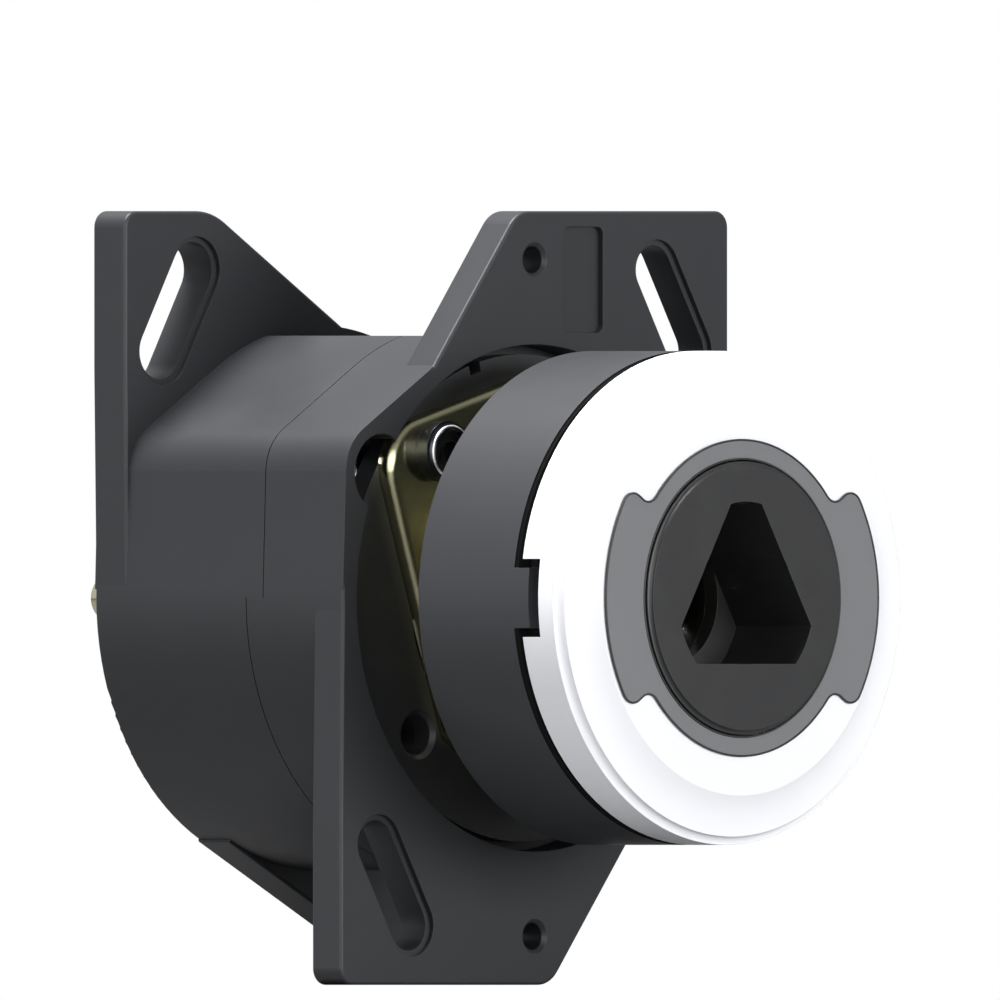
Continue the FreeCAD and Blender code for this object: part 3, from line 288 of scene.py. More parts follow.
class Effect:
    """A shader node group that is built once and placed in many materials."""

    name = "effect"
    takes: dict[str, tuple[str, float | Colour]] = {}
    gives: dict[str, str] = {}

    @classmethod
    def group(cls) -> bpy.types.NodeTree:
        """Find the group, or build it at its first use.

        Returns:
            The group's node tree.
        """
        found = bpy.data.node_groups.get(cls.name)
        if found:
            return found
        tree = bpy.data.node_groups.new(cls.name, "ShaderNodeTree")
        for label, (kind, value) in cls.takes.items():
            socket = tree.interface.new_socket(label, in_out="INPUT", socket_type=kind)
            socket.default_value = value
        for label, kind in cls.gives.items():
            tree.interface.new_socket(label, in_out="OUTPUT", socket_type=kind)
        board = Board(tree)
        cls.draw(board, board.add("NodeGroupInput").outputs, board.add("NodeGroupOutput").inputs)
        return tree

    @classmethod
    def draw(cls, board: Board, given: Sockets, out: Sockets) -> None:
        """Draw the effect's nodes from the inputs given to the outputs, as each effect does."""
        raise NotImplementedError

    @classmethod
    def place(cls, board: Board, **values: Entry) -> Sockets:
        """Place the group in a material with its own values.

        Args:
            board: The board of the material's tree.
            values: Values or sockets by input name, in small letters and with a low line for each space.

        Returns:
            The outputs of the placed group.
        """
        node = board.add("ShaderNodeGroup", node_tree=cls.group())
        for label, value in values.items():
            board.feed(node.inputs[label.replace("_", " ").capitalize()], value)
        return node.outputs


class MouldedSkin(Effect):
    """The fine spark grain, cloudy tone and flow marks of an injection moulding.

    Attributes:
        cloud_size: Scale of the cloudy tone.
        flow_size: Scale of the flow marks.
    """

    name = "moulded_skin"
    takes = {
        "Tone": ("NodeSocketColor", grey(0.05)),
        "Cloud": ("NodeSocketFloat", 0.1),
        "Grain size": ("NodeSocketFloat", 3200.0),
        "Smooth": ("NodeSocketFloat", 0.3),
        "Unevenness": ("NodeSocketFloat", 0.05),
    }
    gives = {"Color": "NodeSocketColor", "Roughness": "NodeSocketFloat", "Height": "NodeSocketFloat"}
    cloud_size = 55.0
    flow_size = 260.0

    @classmethod
    def draw(cls, board: Board, given: Sockets, out: Sockets) -> None:
        """Draw grain, cloud and flow from three scales of noise.

        Args:
            board: The board of the group's tree.
            given: Sockets of the group's inputs.
            out: Sockets of the group's outputs.
        """
        spot = board.spot()
        grain = board.noise(spot, given["Grain size"], detail=3.0, rough=0.6)
        cloud = board.noise(spot, cls.cloud_size, detail=4.0, rough=0.55)
        flow = board.noise(spot, cls.flow_size)
        centred = board.reckon("SUBTRACT", cloud, 0.5)
        swing = board.reckon("MULTIPLY", centred, given["Cloud"])
        tint = board.add("ShaderNodeVectorMath", operation="SCALE")
        board.feed(tint.inputs[0], given["Tone"])
        board.feed(tint.inputs["Scale"], board.reckon("ADD", swing, 1.0))
        board.feed(out["Color"], tint.outputs[0])
        uneven = board.reckon("SUBTRACT", board.reckon("ADD", flow, cloud), 1.0)
        drift = board.reckon("MULTIPLY", uneven, given["Unevenness"])
        board.feed(out["Roughness"], board.reckon("ADD", given["Smooth"], drift, clamp=True))
        board.feed(out["Height"], grain)


class EdgeWear(Effect):
    """A mask of the edges that hands and tools rub bright.

    Attributes:
        samples: Number of looks round a point.
        unworn: Cosine between true and rounded normal at which wear sets in.
        fully_worn: Cosine at which it is full.
        patch_range: Range of the noise that breaks it up.
        least_patch: Share of the wear that is left between the patches.
    """

    name = "edge_wear"
    takes = {
        "Width": ("NodeSocketFloat", 0.0003),
        "Amount": ("NodeSocketFloat", 0.5),
        "Patch size": ("NodeSocketFloat", 900.0),
    }
    gives = {"Mask": "NodeSocketFloat"}
    samples = 4
    unworn = 0.995
    fully_worn = 0.75
    patch_range = (0.35, 0.65)
    least_patch = 0.2

    @classmethod
    def draw(cls, board: Board, given: Sockets, out: Sockets) -> None:
        """Compare the true normal with a rounded one and break the result up.

        Args:
            board: The board of the group's tree.
            given: Sockets of the group's inputs.
            out: Sockets of the group's outputs.
        """
        rounded = board.add("ShaderNodeBevel", samples=cls.samples)
        board.feed(rounded.inputs["Radius"], given["Width"])
        turned = board.add("ShaderNodeVectorMath", operation="DOT_PRODUCT")
        board.feed(turned.inputs[0], rounded.outputs[0])
        board.feed(turned.inputs[1], board.add("ShaderNodeNewGeometry").outputs["Normal"])
        bent = board.spread(turned.outputs["Value"], cls.unworn, cls.fully_worn, 0.0, 1.0)
        patches = board.noise(board.spot(), given["Patch size"], detail=3.0)
        patch = board.spread(patches, *cls.patch_range, cls.least_patch, 1.0)
        worn = board.reckon("MULTIPLY", bent, patch)
        board.feed(out["Mask"], board.reckon("MULTIPLY", worn, given["Amount"], clamp=True))


class ToolLines(Effect):
    """The rings that a lathe leaves about the outlet's axis, or the strokes of a brush.

    Attributes:
        brush_squeeze: How much shorter the strokes' noise is in each direction.
        brush_size: Scale of the strokes.
        band_size: Scale of the rings' broad bands.
    """

    name = "tool_lines"
    takes = {
        "Pitch": ("NodeSocketFloat", 9000.0),
        "Across": ("NodeSocketFloat", 0.0),
    }
    gives = {"Height": "NodeSocketFloat", "Band": "NodeSocketFloat"}
    brush_squeeze = (1.0, 1.0, 24.0)
    brush_size = 700.0
    band_size = 900.0

    @classmethod
    def draw(cls, board: Board, given: Sockets, out: Sockets) -> None:
        """Read noise by radius and place on the axis, so that its lines run round.

        Args:
            board: The board of the group's tree.
            given: Sockets of the group's inputs.
            out: Sockets of the group's outputs.
        """
        spot = board.spot()
        parts = board.parts(spot)
        flat = board.add("ShaderNodeCombineXYZ")
        board.feed(flat.inputs["X"], parts["X"])
        board.feed(flat.inputs["Z"], parts["Z"])
        reach = board.add("ShaderNodeVectorMath", operation="LENGTH")
        board.feed(reach.inputs[0], flat.outputs[0])
        turned = board.add("ShaderNodeCombineXYZ")
        board.feed(turned.inputs["X"], reach.outputs["Value"])
        board.feed(turned.inputs["Y"], parts["Y"])
        squeezed = board.add("ShaderNodeVectorMath", operation="MULTIPLY")
        board.feed(squeezed.inputs[0], spot)
        board.feed(squeezed.inputs[1], cls.brush_squeeze)
        rings = board.noise(turned.outputs[0], given["Pitch"])
        strokes = board.noise(squeezed.outputs[0], cls.brush_size)
        board.feed(out["Height"], board.weigh(given["Across"], rings, strokes))
        board.feed(out["Band"], board.noise(turned.outputs[0], cls.band_size, detail=1.0))


class Dust(Effect):
    """Faint dust and smears that dull a face in patches.

    Attributes:
        patch_range: Range of the noise that the patches come from.
        upward_range: Upward part of the normal at which more dust sets in, and at which it is full.
        least_dust: Share of the dust that faces which don't look up have.
    """

    name = "dust"
    takes = {"Amount": ("NodeSocketFloat", 0.1), "Patch size": ("NodeSocketFloat", 120.0)}
    gives = {"Mask": "NodeSocketFloat"}
    patch_range = (0.45, 0.8)
    upward_range = (0.2, 1.0)
    least_dust = 0.35

    @classmethod
    def draw(cls, board: Board, given: Sockets, out: Sockets) -> None:
        """Gather dust where the face looks up and in soft patches.

        Args:
            board: The board of the group's tree.
            given: Sockets of the group's inputs.
            out: Sockets of the group's outputs.
        """
        smears = board.noise(board.spot(), given["Patch size"], detail=5.0, rough=0.65)
        patch = board.spread(smears, *cls.patch_range, 0.0, 1.0)
        lean = board.parts(board.add("ShaderNodeNewGeometry").outputs["Normal"])["Z"]
        upward = board.spread(lean, *cls.upward_range, cls.least_dust, 1.0)
        dusty = board.reckon("MULTIPLY", patch, upward)
        board.feed(out["Mask"], board.reckon("MULTIPLY", dusty, given["Amount"]))


class PaintedGapShade(Effect):
    """A mask of the painted shade in the gap behind the cap: what lies in front of one place on the axis,
    save for the tab at the left.
    """

    name = "painted_gap_shade"
    takes = {"Place": ("NodeSocketFloat", -0.026), "Tab half": ("NodeSocketFloat", 0.0037)}
    gives = {"Mask": "NodeSocketFloat"}

    @classmethod
    def draw(cls, board: Board, given: Sockets, out: Sockets) -> None:
        """Compare the place on the axis and the distance from the tab.

        Args:
            board: The board of the group's tree.
            given: Sockets of the group's inputs.
            out: Sockets of the group's outputs.
        """
        parts = board.parts(board.spot())
        ahead = board.reckon("LESS_THAN", parts["Y"], given["Place"])
        aside = board.reckon("MAXIMUM", board.reckon("ABSOLUTE", parts["Z"]), parts["X"])
        clear = board.reckon("GREATER_THAN", aside, given["Tab half"])
        board.feed(out["Mask"], board.reckon("MULTIPLY", ahead, clear))


@dataclass(frozen=True)
class Finish:
    """What every finish of the outlet has.

    Attributes:
        name: The material's name.
        tone: Its linear base colour.
        roughness: Its mean roughness.
        edge_radius: Radius that sharp edges are shaded with, in metres.
        edge_samples: Number of looks round a point for that shading.
    """

    name: str
    tone: Colour
    roughness: float
    edge_radius: float = 0.00012
    edge_samples: int = 6

    def material(self) -> bpy.types.Material:
        """Find the finish's material, or make it at its first use.

        Returns:
            The material.
        """
        found = bpy.data.materials.get(self.name)
        if found:
            return found
        made = bpy.data.materials.new(self.name)
        made.use_nodes = True
        made.diffuse_color = self.tone
        board = Board(made.node_tree)
        self.dress(board, made.node_tree.nodes["Principled BSDF"].inputs)
        return made

    def dress(self, board: Board, shader: Sockets) -> None:
        """Feed the material's shader, as each kind of finish does."""
        raise NotImplementedError

    def rough_skin(self, board: Board, height: Entry, depth: float, shader: Sockets) -> None:
        """Bump the surface by a height and round its sharp edges.

        Args:
            board: The board of the material's tree.
            height: The height's socket.
            depth: Depth of the bump in metres.
            shader: Inputs of the Principled BSDF.
        """
        rounded = board.add("ShaderNodeBevel", samples=self.edge_samples)
        rounded.inputs["Radius"].default_value = self.edge_radius
        bump = board.add("ShaderNodeBump")
        bump.inputs["Strength"].default_value = 1.0
        bump.inputs["Distance"].default_value = depth
        board.feed(bump.inputs["Height"], height)
        board.feed(bump.inputs["Normal"], rounded.outputs[0])
        board.feed(shader["Normal"], bump.outputs[0])


@dataclass(frozen=True)
class MouldedPlastic(Finish):
    """A moulded thermoplastic, from satin housing to glossy cap.

    Attributes:
        cloud: How much its tone drifts.
        grain: Depth of its spark grain in metres.
        grain_size: Scale of its spark grain.
        unevenness: How much its gloss drifts.
        worn_tone: Tone of rubbed edges.
        wear: Amount of edge wear.
        dust: Amount of dust.
        dust_tone: Tone of the dust.
        coat: Weight of a clear gloss over it.
        coat_roughness: Roughness of that gloss.
        specular: Specular level of its surface.
    """

    cloud: float = 0.12
    grain: float = 0.000004
    grain_size: float = 3200.0
    unevenness: float = 0.08
    worn_tone: Colour = (0.16, 0.165, 0.175, 1.0)
    wear: float = 0.35
    dust: float = 0.06
    dust_tone: Colour = grey(0.35)
    coat: float = 0.0
    coat_roughness: float = 0.04
    specular: float = 0.5

    def dress(self, board: Board, shader: Sockets) -> None:
        """Feed the shader with moulded skin, worn edges and dust.

        Args:
            board: The board of the material's tree.
            shader: Inputs of the Principled BSDF.
        """
        skin = MouldedSkin.place(
            board, tone=self.tone, cloud=self.cloud, grain_size=self.grain_size,
            smooth=self.roughness, unevenness=self.unevenness,
        )
        worn = EdgeWear.place(board, amount=self.wear)["Mask"]
        dusty = Dust.place(board, amount=self.dust)["Mask"]
        rubbed = board.blend(worn, skin["Color"], self.worn_tone)
        board.feed(shader["Base Color"], board.blend(dusty, rubbed, self.dust_tone))
        board.feed(shader["Roughness"], board.reckon("ADD", skin["Roughness"], dusty, clamp=True))
        shader["Specular IOR Level"].default_value = self.specular
        shader["Coat Weight"].default_value = self.coat
        shader["Coat Roughness"].default_value = self.coat_roughness
        self.rough_skin(board, skin["Height"], self.grain, shader)


@dataclass(frozen=True)
class SleevePlastic(MouldedPlastic):
    """The sleeve's plastic, with shade painted near black onto its front end in the gap behind the cap.

    Attributes:
        painted_shade_place: Where the painted shade starts along the outlet's axis, in metres.
        tab_half: Half the height of the tab that the painted shade leaves out, in metres.
        painted_shade_tone: Tone painted on the plastic in the gap, as shade.
        painted_shade_roughness: Its roughness there.
    """

    painted_shade_place: float = -0.02599
    tab_half: float = 0.0037
    painted_shade_tone: Colour = grey(0.002)
    painted_shade_roughness: float = 1.0

    def dress(self, board: Board, shader: Sockets) -> None:
        """Feed the shader as for any moulding, then paint shade into the gap.

        Args:
            board: The board of the material's tree.
            shader: Inputs of the Principled BSDF.
        """
        super().dress(board, shader)
        # Painted shade: the front end in the gap behind the cap goes near black and fully rough
        gap = PaintedGapShade.place(board, place=self.painted_shade_place, tab_half=self.tab_half)["Mask"]
        lit = {label: shader[label].links[0].from_socket for label in ("Base Color", "Roughness")}
        board.feed(shader["Base Color"], board.blend(gap, lit["Base Color"], self.painted_shade_tone))
        board.feed(shader["Roughness"], board.weigh(gap, lit["Roughness"], self.painted_shade_roughness))


@dataclass(frozen=True)
class CutMetal(Finish):
    """A turned, brushed or drawn metal.

    Attributes:
        tool: The tool that left its marks.
        dull_tone: Tone of its dull patches.
        dull: How much of it is dull.
        patch_size: Scale of the dull patches.
        drift: Least and greatest roughness, as shares of the mean.
        lines: Depth of the tool marks in metres.
        pitch: Scale of the tool marks.
        worn_tone: Tone of rubbed edges.
        wear: Amount of edge wear.
    """

    tool: Tool = Tool.LATHE
    dull_tone: Colour = (0.4, 0.33, 0.18, 1.0)
    dull: float = 0.3
    patch_size: float = 260.0
    drift: tuple[float, float] = (0.75, 1.35)
    lines: float = 0.0000015
    pitch: float = 9000.0
    worn_tone: Colour = (0.95, 0.9, 0.7, 1.0)
    wear: float = 0.5

    def dress(self, board: Board, shader: Sockets) -> None:
        """Feed the shader with tool lines, dull patches and bright edges.

        Args:
            board: The board of the material's tree.
            shader: Inputs of the Principled BSDF.
        """
        marks = ToolLines.place(board, pitch=self.pitch, across=float(self.tool is Tool.BRUSH))
        dusty = Dust.place(board, amount=self.dull, patch_size=self.patch_size)["Mask"]
        worn = EdgeWear.place(board, amount=self.wear)["Mask"]
        dulled = board.blend(dusty, self.tone, self.dull_tone)
        board.feed(shader["Base Color"], board.blend(worn, dulled, self.worn_tone))
        shader["Metallic"].default_value = 1.0
        least, most = self.drift
        banded = board.spread(marks["Band"], *NOISE_RANGE, self.roughness * least, self.roughness * most)
        board.feed(shader["Roughness"], board.reckon("ADD", banded, dusty, clamp=True))
        self.rough_skin(board, marks["Height"], self.lines, shader)


@dataclass(frozen=True)
class SoftSeal(Finish):
    """A moulded rubber or a punched fibre.

    Attributes:
        bloom_tone: Tone of the bloom on its surface.
        bloom: Amount of bloom.
        bloom_size: Scale of its patches.
        cloud: How much its tone drifts.
        unevenness: How much its gloss drifts.
        grain_size: Scale of its grain.
        grain: Depth of its grain in metres.
    """

    bloom_tone: Colour = (0.09, 0.09, 0.09, 1.0)
    bloom: float = 0.5
    bloom_size: float = 400.0
    cloud: float = 0.3
    unevenness: float = 0.1
    grain_size: float = 2600.0
    grain: float = 0.00001

    def dress(self, board: Board, shader: Sockets) -> None:
        """Feed the shader with grain and bloom.

        Args:
            board: The board of the material's tree.
            shader: Inputs of the Principled BSDF.
        """
        skin = MouldedSkin.place(
            board, tone=self.tone, cloud=self.cloud, grain_size=self.grain_size,
            smooth=self.roughness, unevenness=self.unevenness,
        )
        bloomed = Dust.place(board, amount=self.bloom, patch_size=self.bloom_size)["Mask"]
        board.feed(shader["Base Color"], board.blend(bloomed, skin["Color"], self.bloom_tone))
        board.feed(shader["Roughness"], skin["Roughness"])
        self.rough_skin(board, skin["Height"], self.grain, shader)


FINISHES: dict[Slot, Finish] = {
    Slot.HOUSING: MouldedPlastic(
        "housing_plastic", grey(0.0315, 0.14), 0.41, cloud=0.04, unevenness=0.02, wear=0.03, dust=0.015,
        specular=0.25,
    ),
    Slot.CARRIER: MouldedPlastic("carrier_plastic", grey(0.038, 0.08), 0.42, wear=0.03, specular=0.4),
    # The sleeve's finish paints shade near black into the gap behind the cap
    Slot.SLEEVE: SleevePlastic(
        "sleeve_plastic", grey(0.04, 0.14), 0.41, cloud=0.04, unevenness=0.02, wear=0.03, dust=0.015,
        specular=0.25,
    ),
    Slot.INSERT: MouldedPlastic(
        "insert_plastic", grey(0.026, 0.05), 0.4, grain=0.000006, wear=0.06, specular=0.35,
    ),
    Slot.CAP: MouldedPlastic(
        "cap_plastic", (0.86, 0.87, 0.9, 1.0), 0.4, cloud=0.02, grain=0.000001, unevenness=0.04,
        worn_tone=(0.88, 0.88, 0.9, 1.0), wear=0.1, dust=0.02, coat=0.06, specular=0.2,
    ),
    Slot.LABEL: MouldedPlastic(
        "label_plastic", grey(0.168, 0.06), 0.38, cloud=0.05, grain_size=5200.0,
        worn_tone=(0.4, 0.4, 0.42, 1.0), dust=0.03,
    ),
    Slot.BRASS: CutMetal(
        "turned_brass", (0.74, 0.7, 0.46, 1.0), 0.13, dull_tone=(0.3, 0.27, 0.15, 1.0), dull=0.12,
    ),
    Slot.STEEL: CutMetal(
        "plated_steel", (0.62, 0.63, 0.65, 1.0), 0.22, dull_tone=(0.4, 0.4, 0.42, 1.0),
        worn_tone=(0.85, 0.86, 0.88, 1.0),
    ),
    Slot.SPRING: CutMetal(
        "spring_wire", (0.5, 0.5, 0.52, 1.0), 0.24, tool=Tool.BRUSH, dull_tone=(0.25, 0.24, 0.23, 1.0),
        worn_tone=(0.75, 0.75, 0.77, 1.0),
    ),
    Slot.RUBBER: SoftSeal("seal_rubber", grey(0.018), 0.55),
    Slot.FIBRE: SoftSeal(
        "washer_fibre", (0.28, 0.06, 0.035, 1.0), 0.75, bloom_tone=(0.36, 0.16, 0.1, 1.0), grain_size=900.0,
    ),
}
FORGED_BRASS = CutMetal(
    "forged_brass", (0.62, 0.59, 0.36, 1.0), 0.15, edge_radius=0.0012,
    dull_tone=(0.28, 0.25, 0.14, 1.0), dull=0.12, worn_tone=(1.0, 0.97, 0.85, 1.0), wear=0.4,
)
DARKENED_BRASS = CutMetal(
    "darkened_brass", (0.03, 0.028, 0.024, 1.0), 0.45, dull_tone=(0.02, 0.019, 0.017, 1.0),
    worn_tone=(0.12, 0.11, 0.08, 1.0),
)
DARKENED_STEEL = CutMetal(
    "darkened_steel", (0.05, 0.052, 0.06, 1.0), 0.34, dull_tone=(0.025, 0.025, 0.03, 1.0),
    worn_tone=(0.12, 0.12, 0.13, 1.0),
)
# Bright metal for the rings that paint the highlight on the clamp screws' head edges
HIGHLIGHT_RING_METAL = CutMetal(
    "painted_highlight_ring", (0.95, 0.95, 0.96, 1.0), 0.5, dull_tone=(0.85, 0.85, 0.86, 1.0), dull=0.1,
    worn_tone=(1.0, 1.0, 1.0, 1.0),
)


def dress_nodes(frame: dict, finishes: dict[str, Finish]) -> list[str]:
    """Give CAD nodes their finishes.

    Args:
        finishes: The finish of each node, by the node's name.

    Returns:
        Names of the nodes.
    """
    for node, finish in finishes.items():
        piece = frame["nodes"][node]
        piece.data.materials.clear()
        piece.data.materials.append(finish.material())
    return list(finishes)


def add_piece(
    shape: bmesh.types.BMesh, name: str, slot: Slot, body: str, finish: Finish | None = None,
) -> bpy.types.Object:
    """Make an object of a finished mesh, dress it and let it ride on a body.

    Args:
        shape: The mesh, which is freed.
        name: The piece's name.
        slot: The slot whose finish it takes when no other is given.
        body: The CAD body that it moves with.
        finish: Its finish, or none for the slot's own.

    Returns:
        The new object.
    """
    bmesh.ops.recalc_face_normals(shape, faces=shape.faces)
    mesh = bpy.data.meshes.new(name)
    shape.to_mesh(mesh)
    shape.free()
    mesh.shade_smooth()
    mesh.materials.append((finish or FINISHES[slot]).material())
    piece = bpy.data.objects.new(name, mesh)
    bpy.context.scene.collection.objects.link(piece)
    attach(piece, body)
    return piece


def sweep(path: list[Vector], radius: float, sides: int, closed: bool) -> bmesh.types.BMesh:
    """Sweep a round section along a path about the outlet's axis.

    Args:
        path: Points of the path in metres.
        radius: Radius of the section in metres.
        sides: Number of points round the section.
        closed: Whether the path runs back into its start.

    Returns:
        The swept mesh.
    """
    shape = bmesh.new()
    rings = []
    count = len(path)
    for index, point in enumerate(path):
        ahead = path[(index + 1) % count] if closed or index + 1 < count else point
        behind = path[index - 1] if closed or index > 0 else point
        along = (ahead - behind).normalized()
        outward = Vector((point.x, 0, point.z))
        outward = (outward - along * outward.dot(along)).normalized()
        upward = along.cross(outward)
        rings.append([
            shape.verts.new(point + radius * (
                math.cos(FULL_TURN * step / sides) * outward + math.sin(FULL_TURN * step / sides) * upward
            ))
            for step in range(sides)
        ])
    last = count if closed else count - 1
    for index in range(last):
        near = rings[index]
        far = rings[(index + 1) % count]
        for step in range(sides):
            after = (step + 1) % sides
            shape.faces.new((near[step], near[after], far[after], far[step]))
    if not closed:
        shape.faces.new(rings[0])
        shape.faces.new(rings[-1])
    return shape


def lathe(profile: Sequence[tuple[float, float]], steps: int = 160) -> bmesh.types.BMesh:
    """Turn a closed profile about the outlet's axis.

    Args:
        profile: Radius and depth of each corner, in millimetres, where depth counts forward.
        steps: Number of steps round the axis.

    Returns:
        The turned mesh.
    """
    shape = bmesh.new()
    rings = []
    for step in range(steps):
        turn = FULL_TURN * step / steps
        rings.append([
            shape.verts.new((
                MILLI * radius * math.cos(turn), -MILLI * depth, MILLI * radius * math.sin(turn),
            ))
            for radius, depth in profile
        ])
    for step in range(steps):
        near = rings[step]
        far = rings[(step + 1) % steps]
        for index in range(len(profile)):
            after = (index + 1) % len(profile)
            shape.faces.new((near[index], near[after], far[after], far[index]))
    return shape


def rounded_section(
    inner: float, outer: float, rear: float, front: float, bend: float, steps: int = 6,
) -> list[tuple[float, float]]:
    """Give a ring's rectangular section with rounded corners.

    Args:
        inner: Inner radius in millimetres.
        outer: Outer radius in millimetres.
        rear: Depth of the rear face in millimetres.
        front: Depth of the front face in millimetres.
        bend: Radius of the corners in millimetres.
        steps: Steps in each corner.

    Returns:
        Radius and depth of each corner point.
    """
    centres = [
        (outer - bend, front - bend), (inner + bend, front - bend),
        (inner + bend, rear + bend), (outer - bend, rear + bend),
    ]
    section = []
    for quarter, (radius, depth) in enumerate(centres):
        for step in range(steps + 1):
            turn = (quarter + step / steps) * FULL_TURN / 4
            section.append((radius + bend * math.cos(turn), depth + bend * math.sin(turn)))
    return section


@dataclass
class CompressionSpring:
    """A spring of round wire with closed ends that stands for a plain CAD coil.

    Attributes:
        node: The CAD node that it replaces.
        body: The body that its fixed end sits on.
        joint: The joint that presses it; not used.
        radius: Mean radius of the coil in millimetres.
        wire: Diameter of the wire in millimetres.
        turns: Number of free turns.
        rear: Depth of its rear end in millimetres.
        front: Depth of its front end in millimetres.
        fixed: Depth of the end that stays, in millimetres; not used.
        keep: Share of its length that is left when pressed; not used.
        ease: Share of the rise that sets in slowly at both ends.
        sink: Rise of each closed end turn, as a share of the wire.
        steps: Steps in one turn.
        sides: Points round the wire.
    """

    node: str
    body: str
    joint: str
    radius: float
    wire: float
    turns: float
    rear: float
    front: float
    fixed: float
    keep: float
    ease: float = 0.25
    sink: float = 0.25
    steps: int = 48
    sides: int = 14

    def build(self) -> bpy.types.Object:
        """Wind the spring, with one closed turn at each end.

        Returns:
            The spring's object.
        """
        closed_rise = self.wire * self.sink
        free_rise = self.front - self.rear - self.wire - 2 * closed_rise
        path = []
        for step in range(int((self.turns + 2) * self.steps) + 1):
            turned = step / self.steps
            free = min(max(turned - 1, 0), self.turns) / self.turns
            eased = free * free * (3 - 2 * free) * self.ease + free * (1 - self.ease)
            closed = min(turned, 1) + max(turned - 1 - self.turns, 0)
            depth = self.rear + self.wire / 2 + free_rise * eased + closed_rise * closed
            turn = FULL_TURN * turned
            path.append(MILLI * Vector((self.radius * math.cos(turn), -depth, self.radius * math.sin(turn))))
        coil = sweep(path, MILLI * self.wire / 2, self.sides, closed=False)
        piece = add_piece(coil, f"{self.node}_wire", Slot.SPRING, self.body)
        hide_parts(self.node)
        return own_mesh(piece)


@dataclass
class Housing:
    """The two moulded housing halves, the ring in their bore and the screws that join them.

    Attributes:
        bore_radius: Radius of the halves' bore in millimetres.
        lip_wall: Wall of the thin lip that closes their seam from inside, in millimetres.
        lip_clear: Clearance between lip and bore in millimetres.
        lip_rear: Depth of the lip's rear edge in millimetres.
        lip_front: Depth of its front edge in millimetres.
        lip_bend: Radius of its edges in millimetres.
        lip_steps: Steps round the lip.
    """

    bore_radius: float = 30.79
    lip_wall: float = 0.6
    lip_clear: float = 0.02
    lip_rear: float = -18.2
    lip_front: float = -12.0
    lip_bend: float = 0.15
    lip_steps: int = 240

    def build(self, frame: dict) -> list[str]:
        """Dress the housing.


        Returns:
            Names of the pieces.
        """
        names = dress_nodes(frame, {
            "rear_housing": FINISHES[Slot.HOUSING],
            "front_flange": FINISHES[Slot.HOUSING],
            "housing_screws": FINISHES[Slot.STEEL],
            "ring_plate": FINISHES[Slot.CARRIER],
        })
        outer = self.bore_radius - self.lip_clear
        section = rounded_section(
            outer - self.lip_wall, outer, self.lip_rear, self.lip_front, self.lip_bend, steps=3,
        )
        lip = add_piece(lathe(section, self.lip_steps), "seam_lip", Slot.CARRIER, "housing")
        return [*names, lip.name]


@dataclass
class ValveBlock:
    """The brass block with its screws, inlet, union and hose tail.

    Attributes:
        screw_place: Middle of one clamp screw across and up, in millimetres; the other is opposite.
        head_radius: Radius of the bright ring, a painted highlight, on the edge of the screw's head, in
            millimetres.
        head_front: Depth of the ring, in millimetres.
        rim_radius: Radius of the ring's section, in millimetres.
        rim_steps: Steps round the ring.
    """

    screw_place: tuple[float, float] = (-16.57, 17.77)
    head_radius: float = 3.08
    head_front: float = 2.16
    rim_radius: float = 0.17
    rim_steps: int = 72

    def head_highlight_ring(self, side: int) -> bmesh.types.BMesh:
        """Turn the bright ring that paints the highlight on the edge of one screw's head.

        Args:
            side: 1 for the screw at the left, -1 for the one opposite.

        Returns:
            The ring's mesh.
        """
        section = rounded_section(
            self.head_radius - self.rim_radius, self.head_radius + self.rim_radius,
            self.head_front - self.rim_radius, self.head_front + self.rim_radius,
            self.rim_radius * FULL_BEND, steps=3,
        )
        shape = lathe(section, self.rim_steps)
        across, up = self.screw_place
        bmesh.ops.translate(shape, verts=shape.verts, vec=(side * MILLI * across, 0, side * MILLI * up))
        return shape

    def build(self, frame: dict) -> list[str]:
        """Dress the block and all that is screwed to it.


        Returns:
            Names of the pieces.
        """
        names = dress_nodes(frame, {
            "base_block": FORGED_BRASS,
            "clamp_screws": DARKENED_STEEL,
            "inlet_nipple": FINISHES[Slot.BRASS],
            "nipple_washer": FINISHES[Slot.FIBRE],
            "union_nut": FINISHES[Slot.BRASS],
            "hose_tail": FINISHES[Slot.BRASS],
            "service_poppet": FINISHES[Slot.BRASS],
            "service_seal": FINISHES[Slot.RUBBER],
        })
        # Bright rings on the screw heads' edges, which stand in for their highlight: a painted highlight
        for side, word in ((1, "left"), (-1, "right")):
            rim = add_piece(self.head_highlight_ring(side), f"screw_highlight_ring_{word}", Slot.STEEL, "housing", HIGHLIGHT_RING_METAL)
            names.append(rim.name)
        spring = CompressionSpring(
            "service_spring", "housing", "service_valve_slide", radius=5.2, wire=0.9, turns=3.0,
            rear=-30.05, front=-18.95, fixed=-30.1, keep=0.82,
        )
        return [*names, spring.build().name]


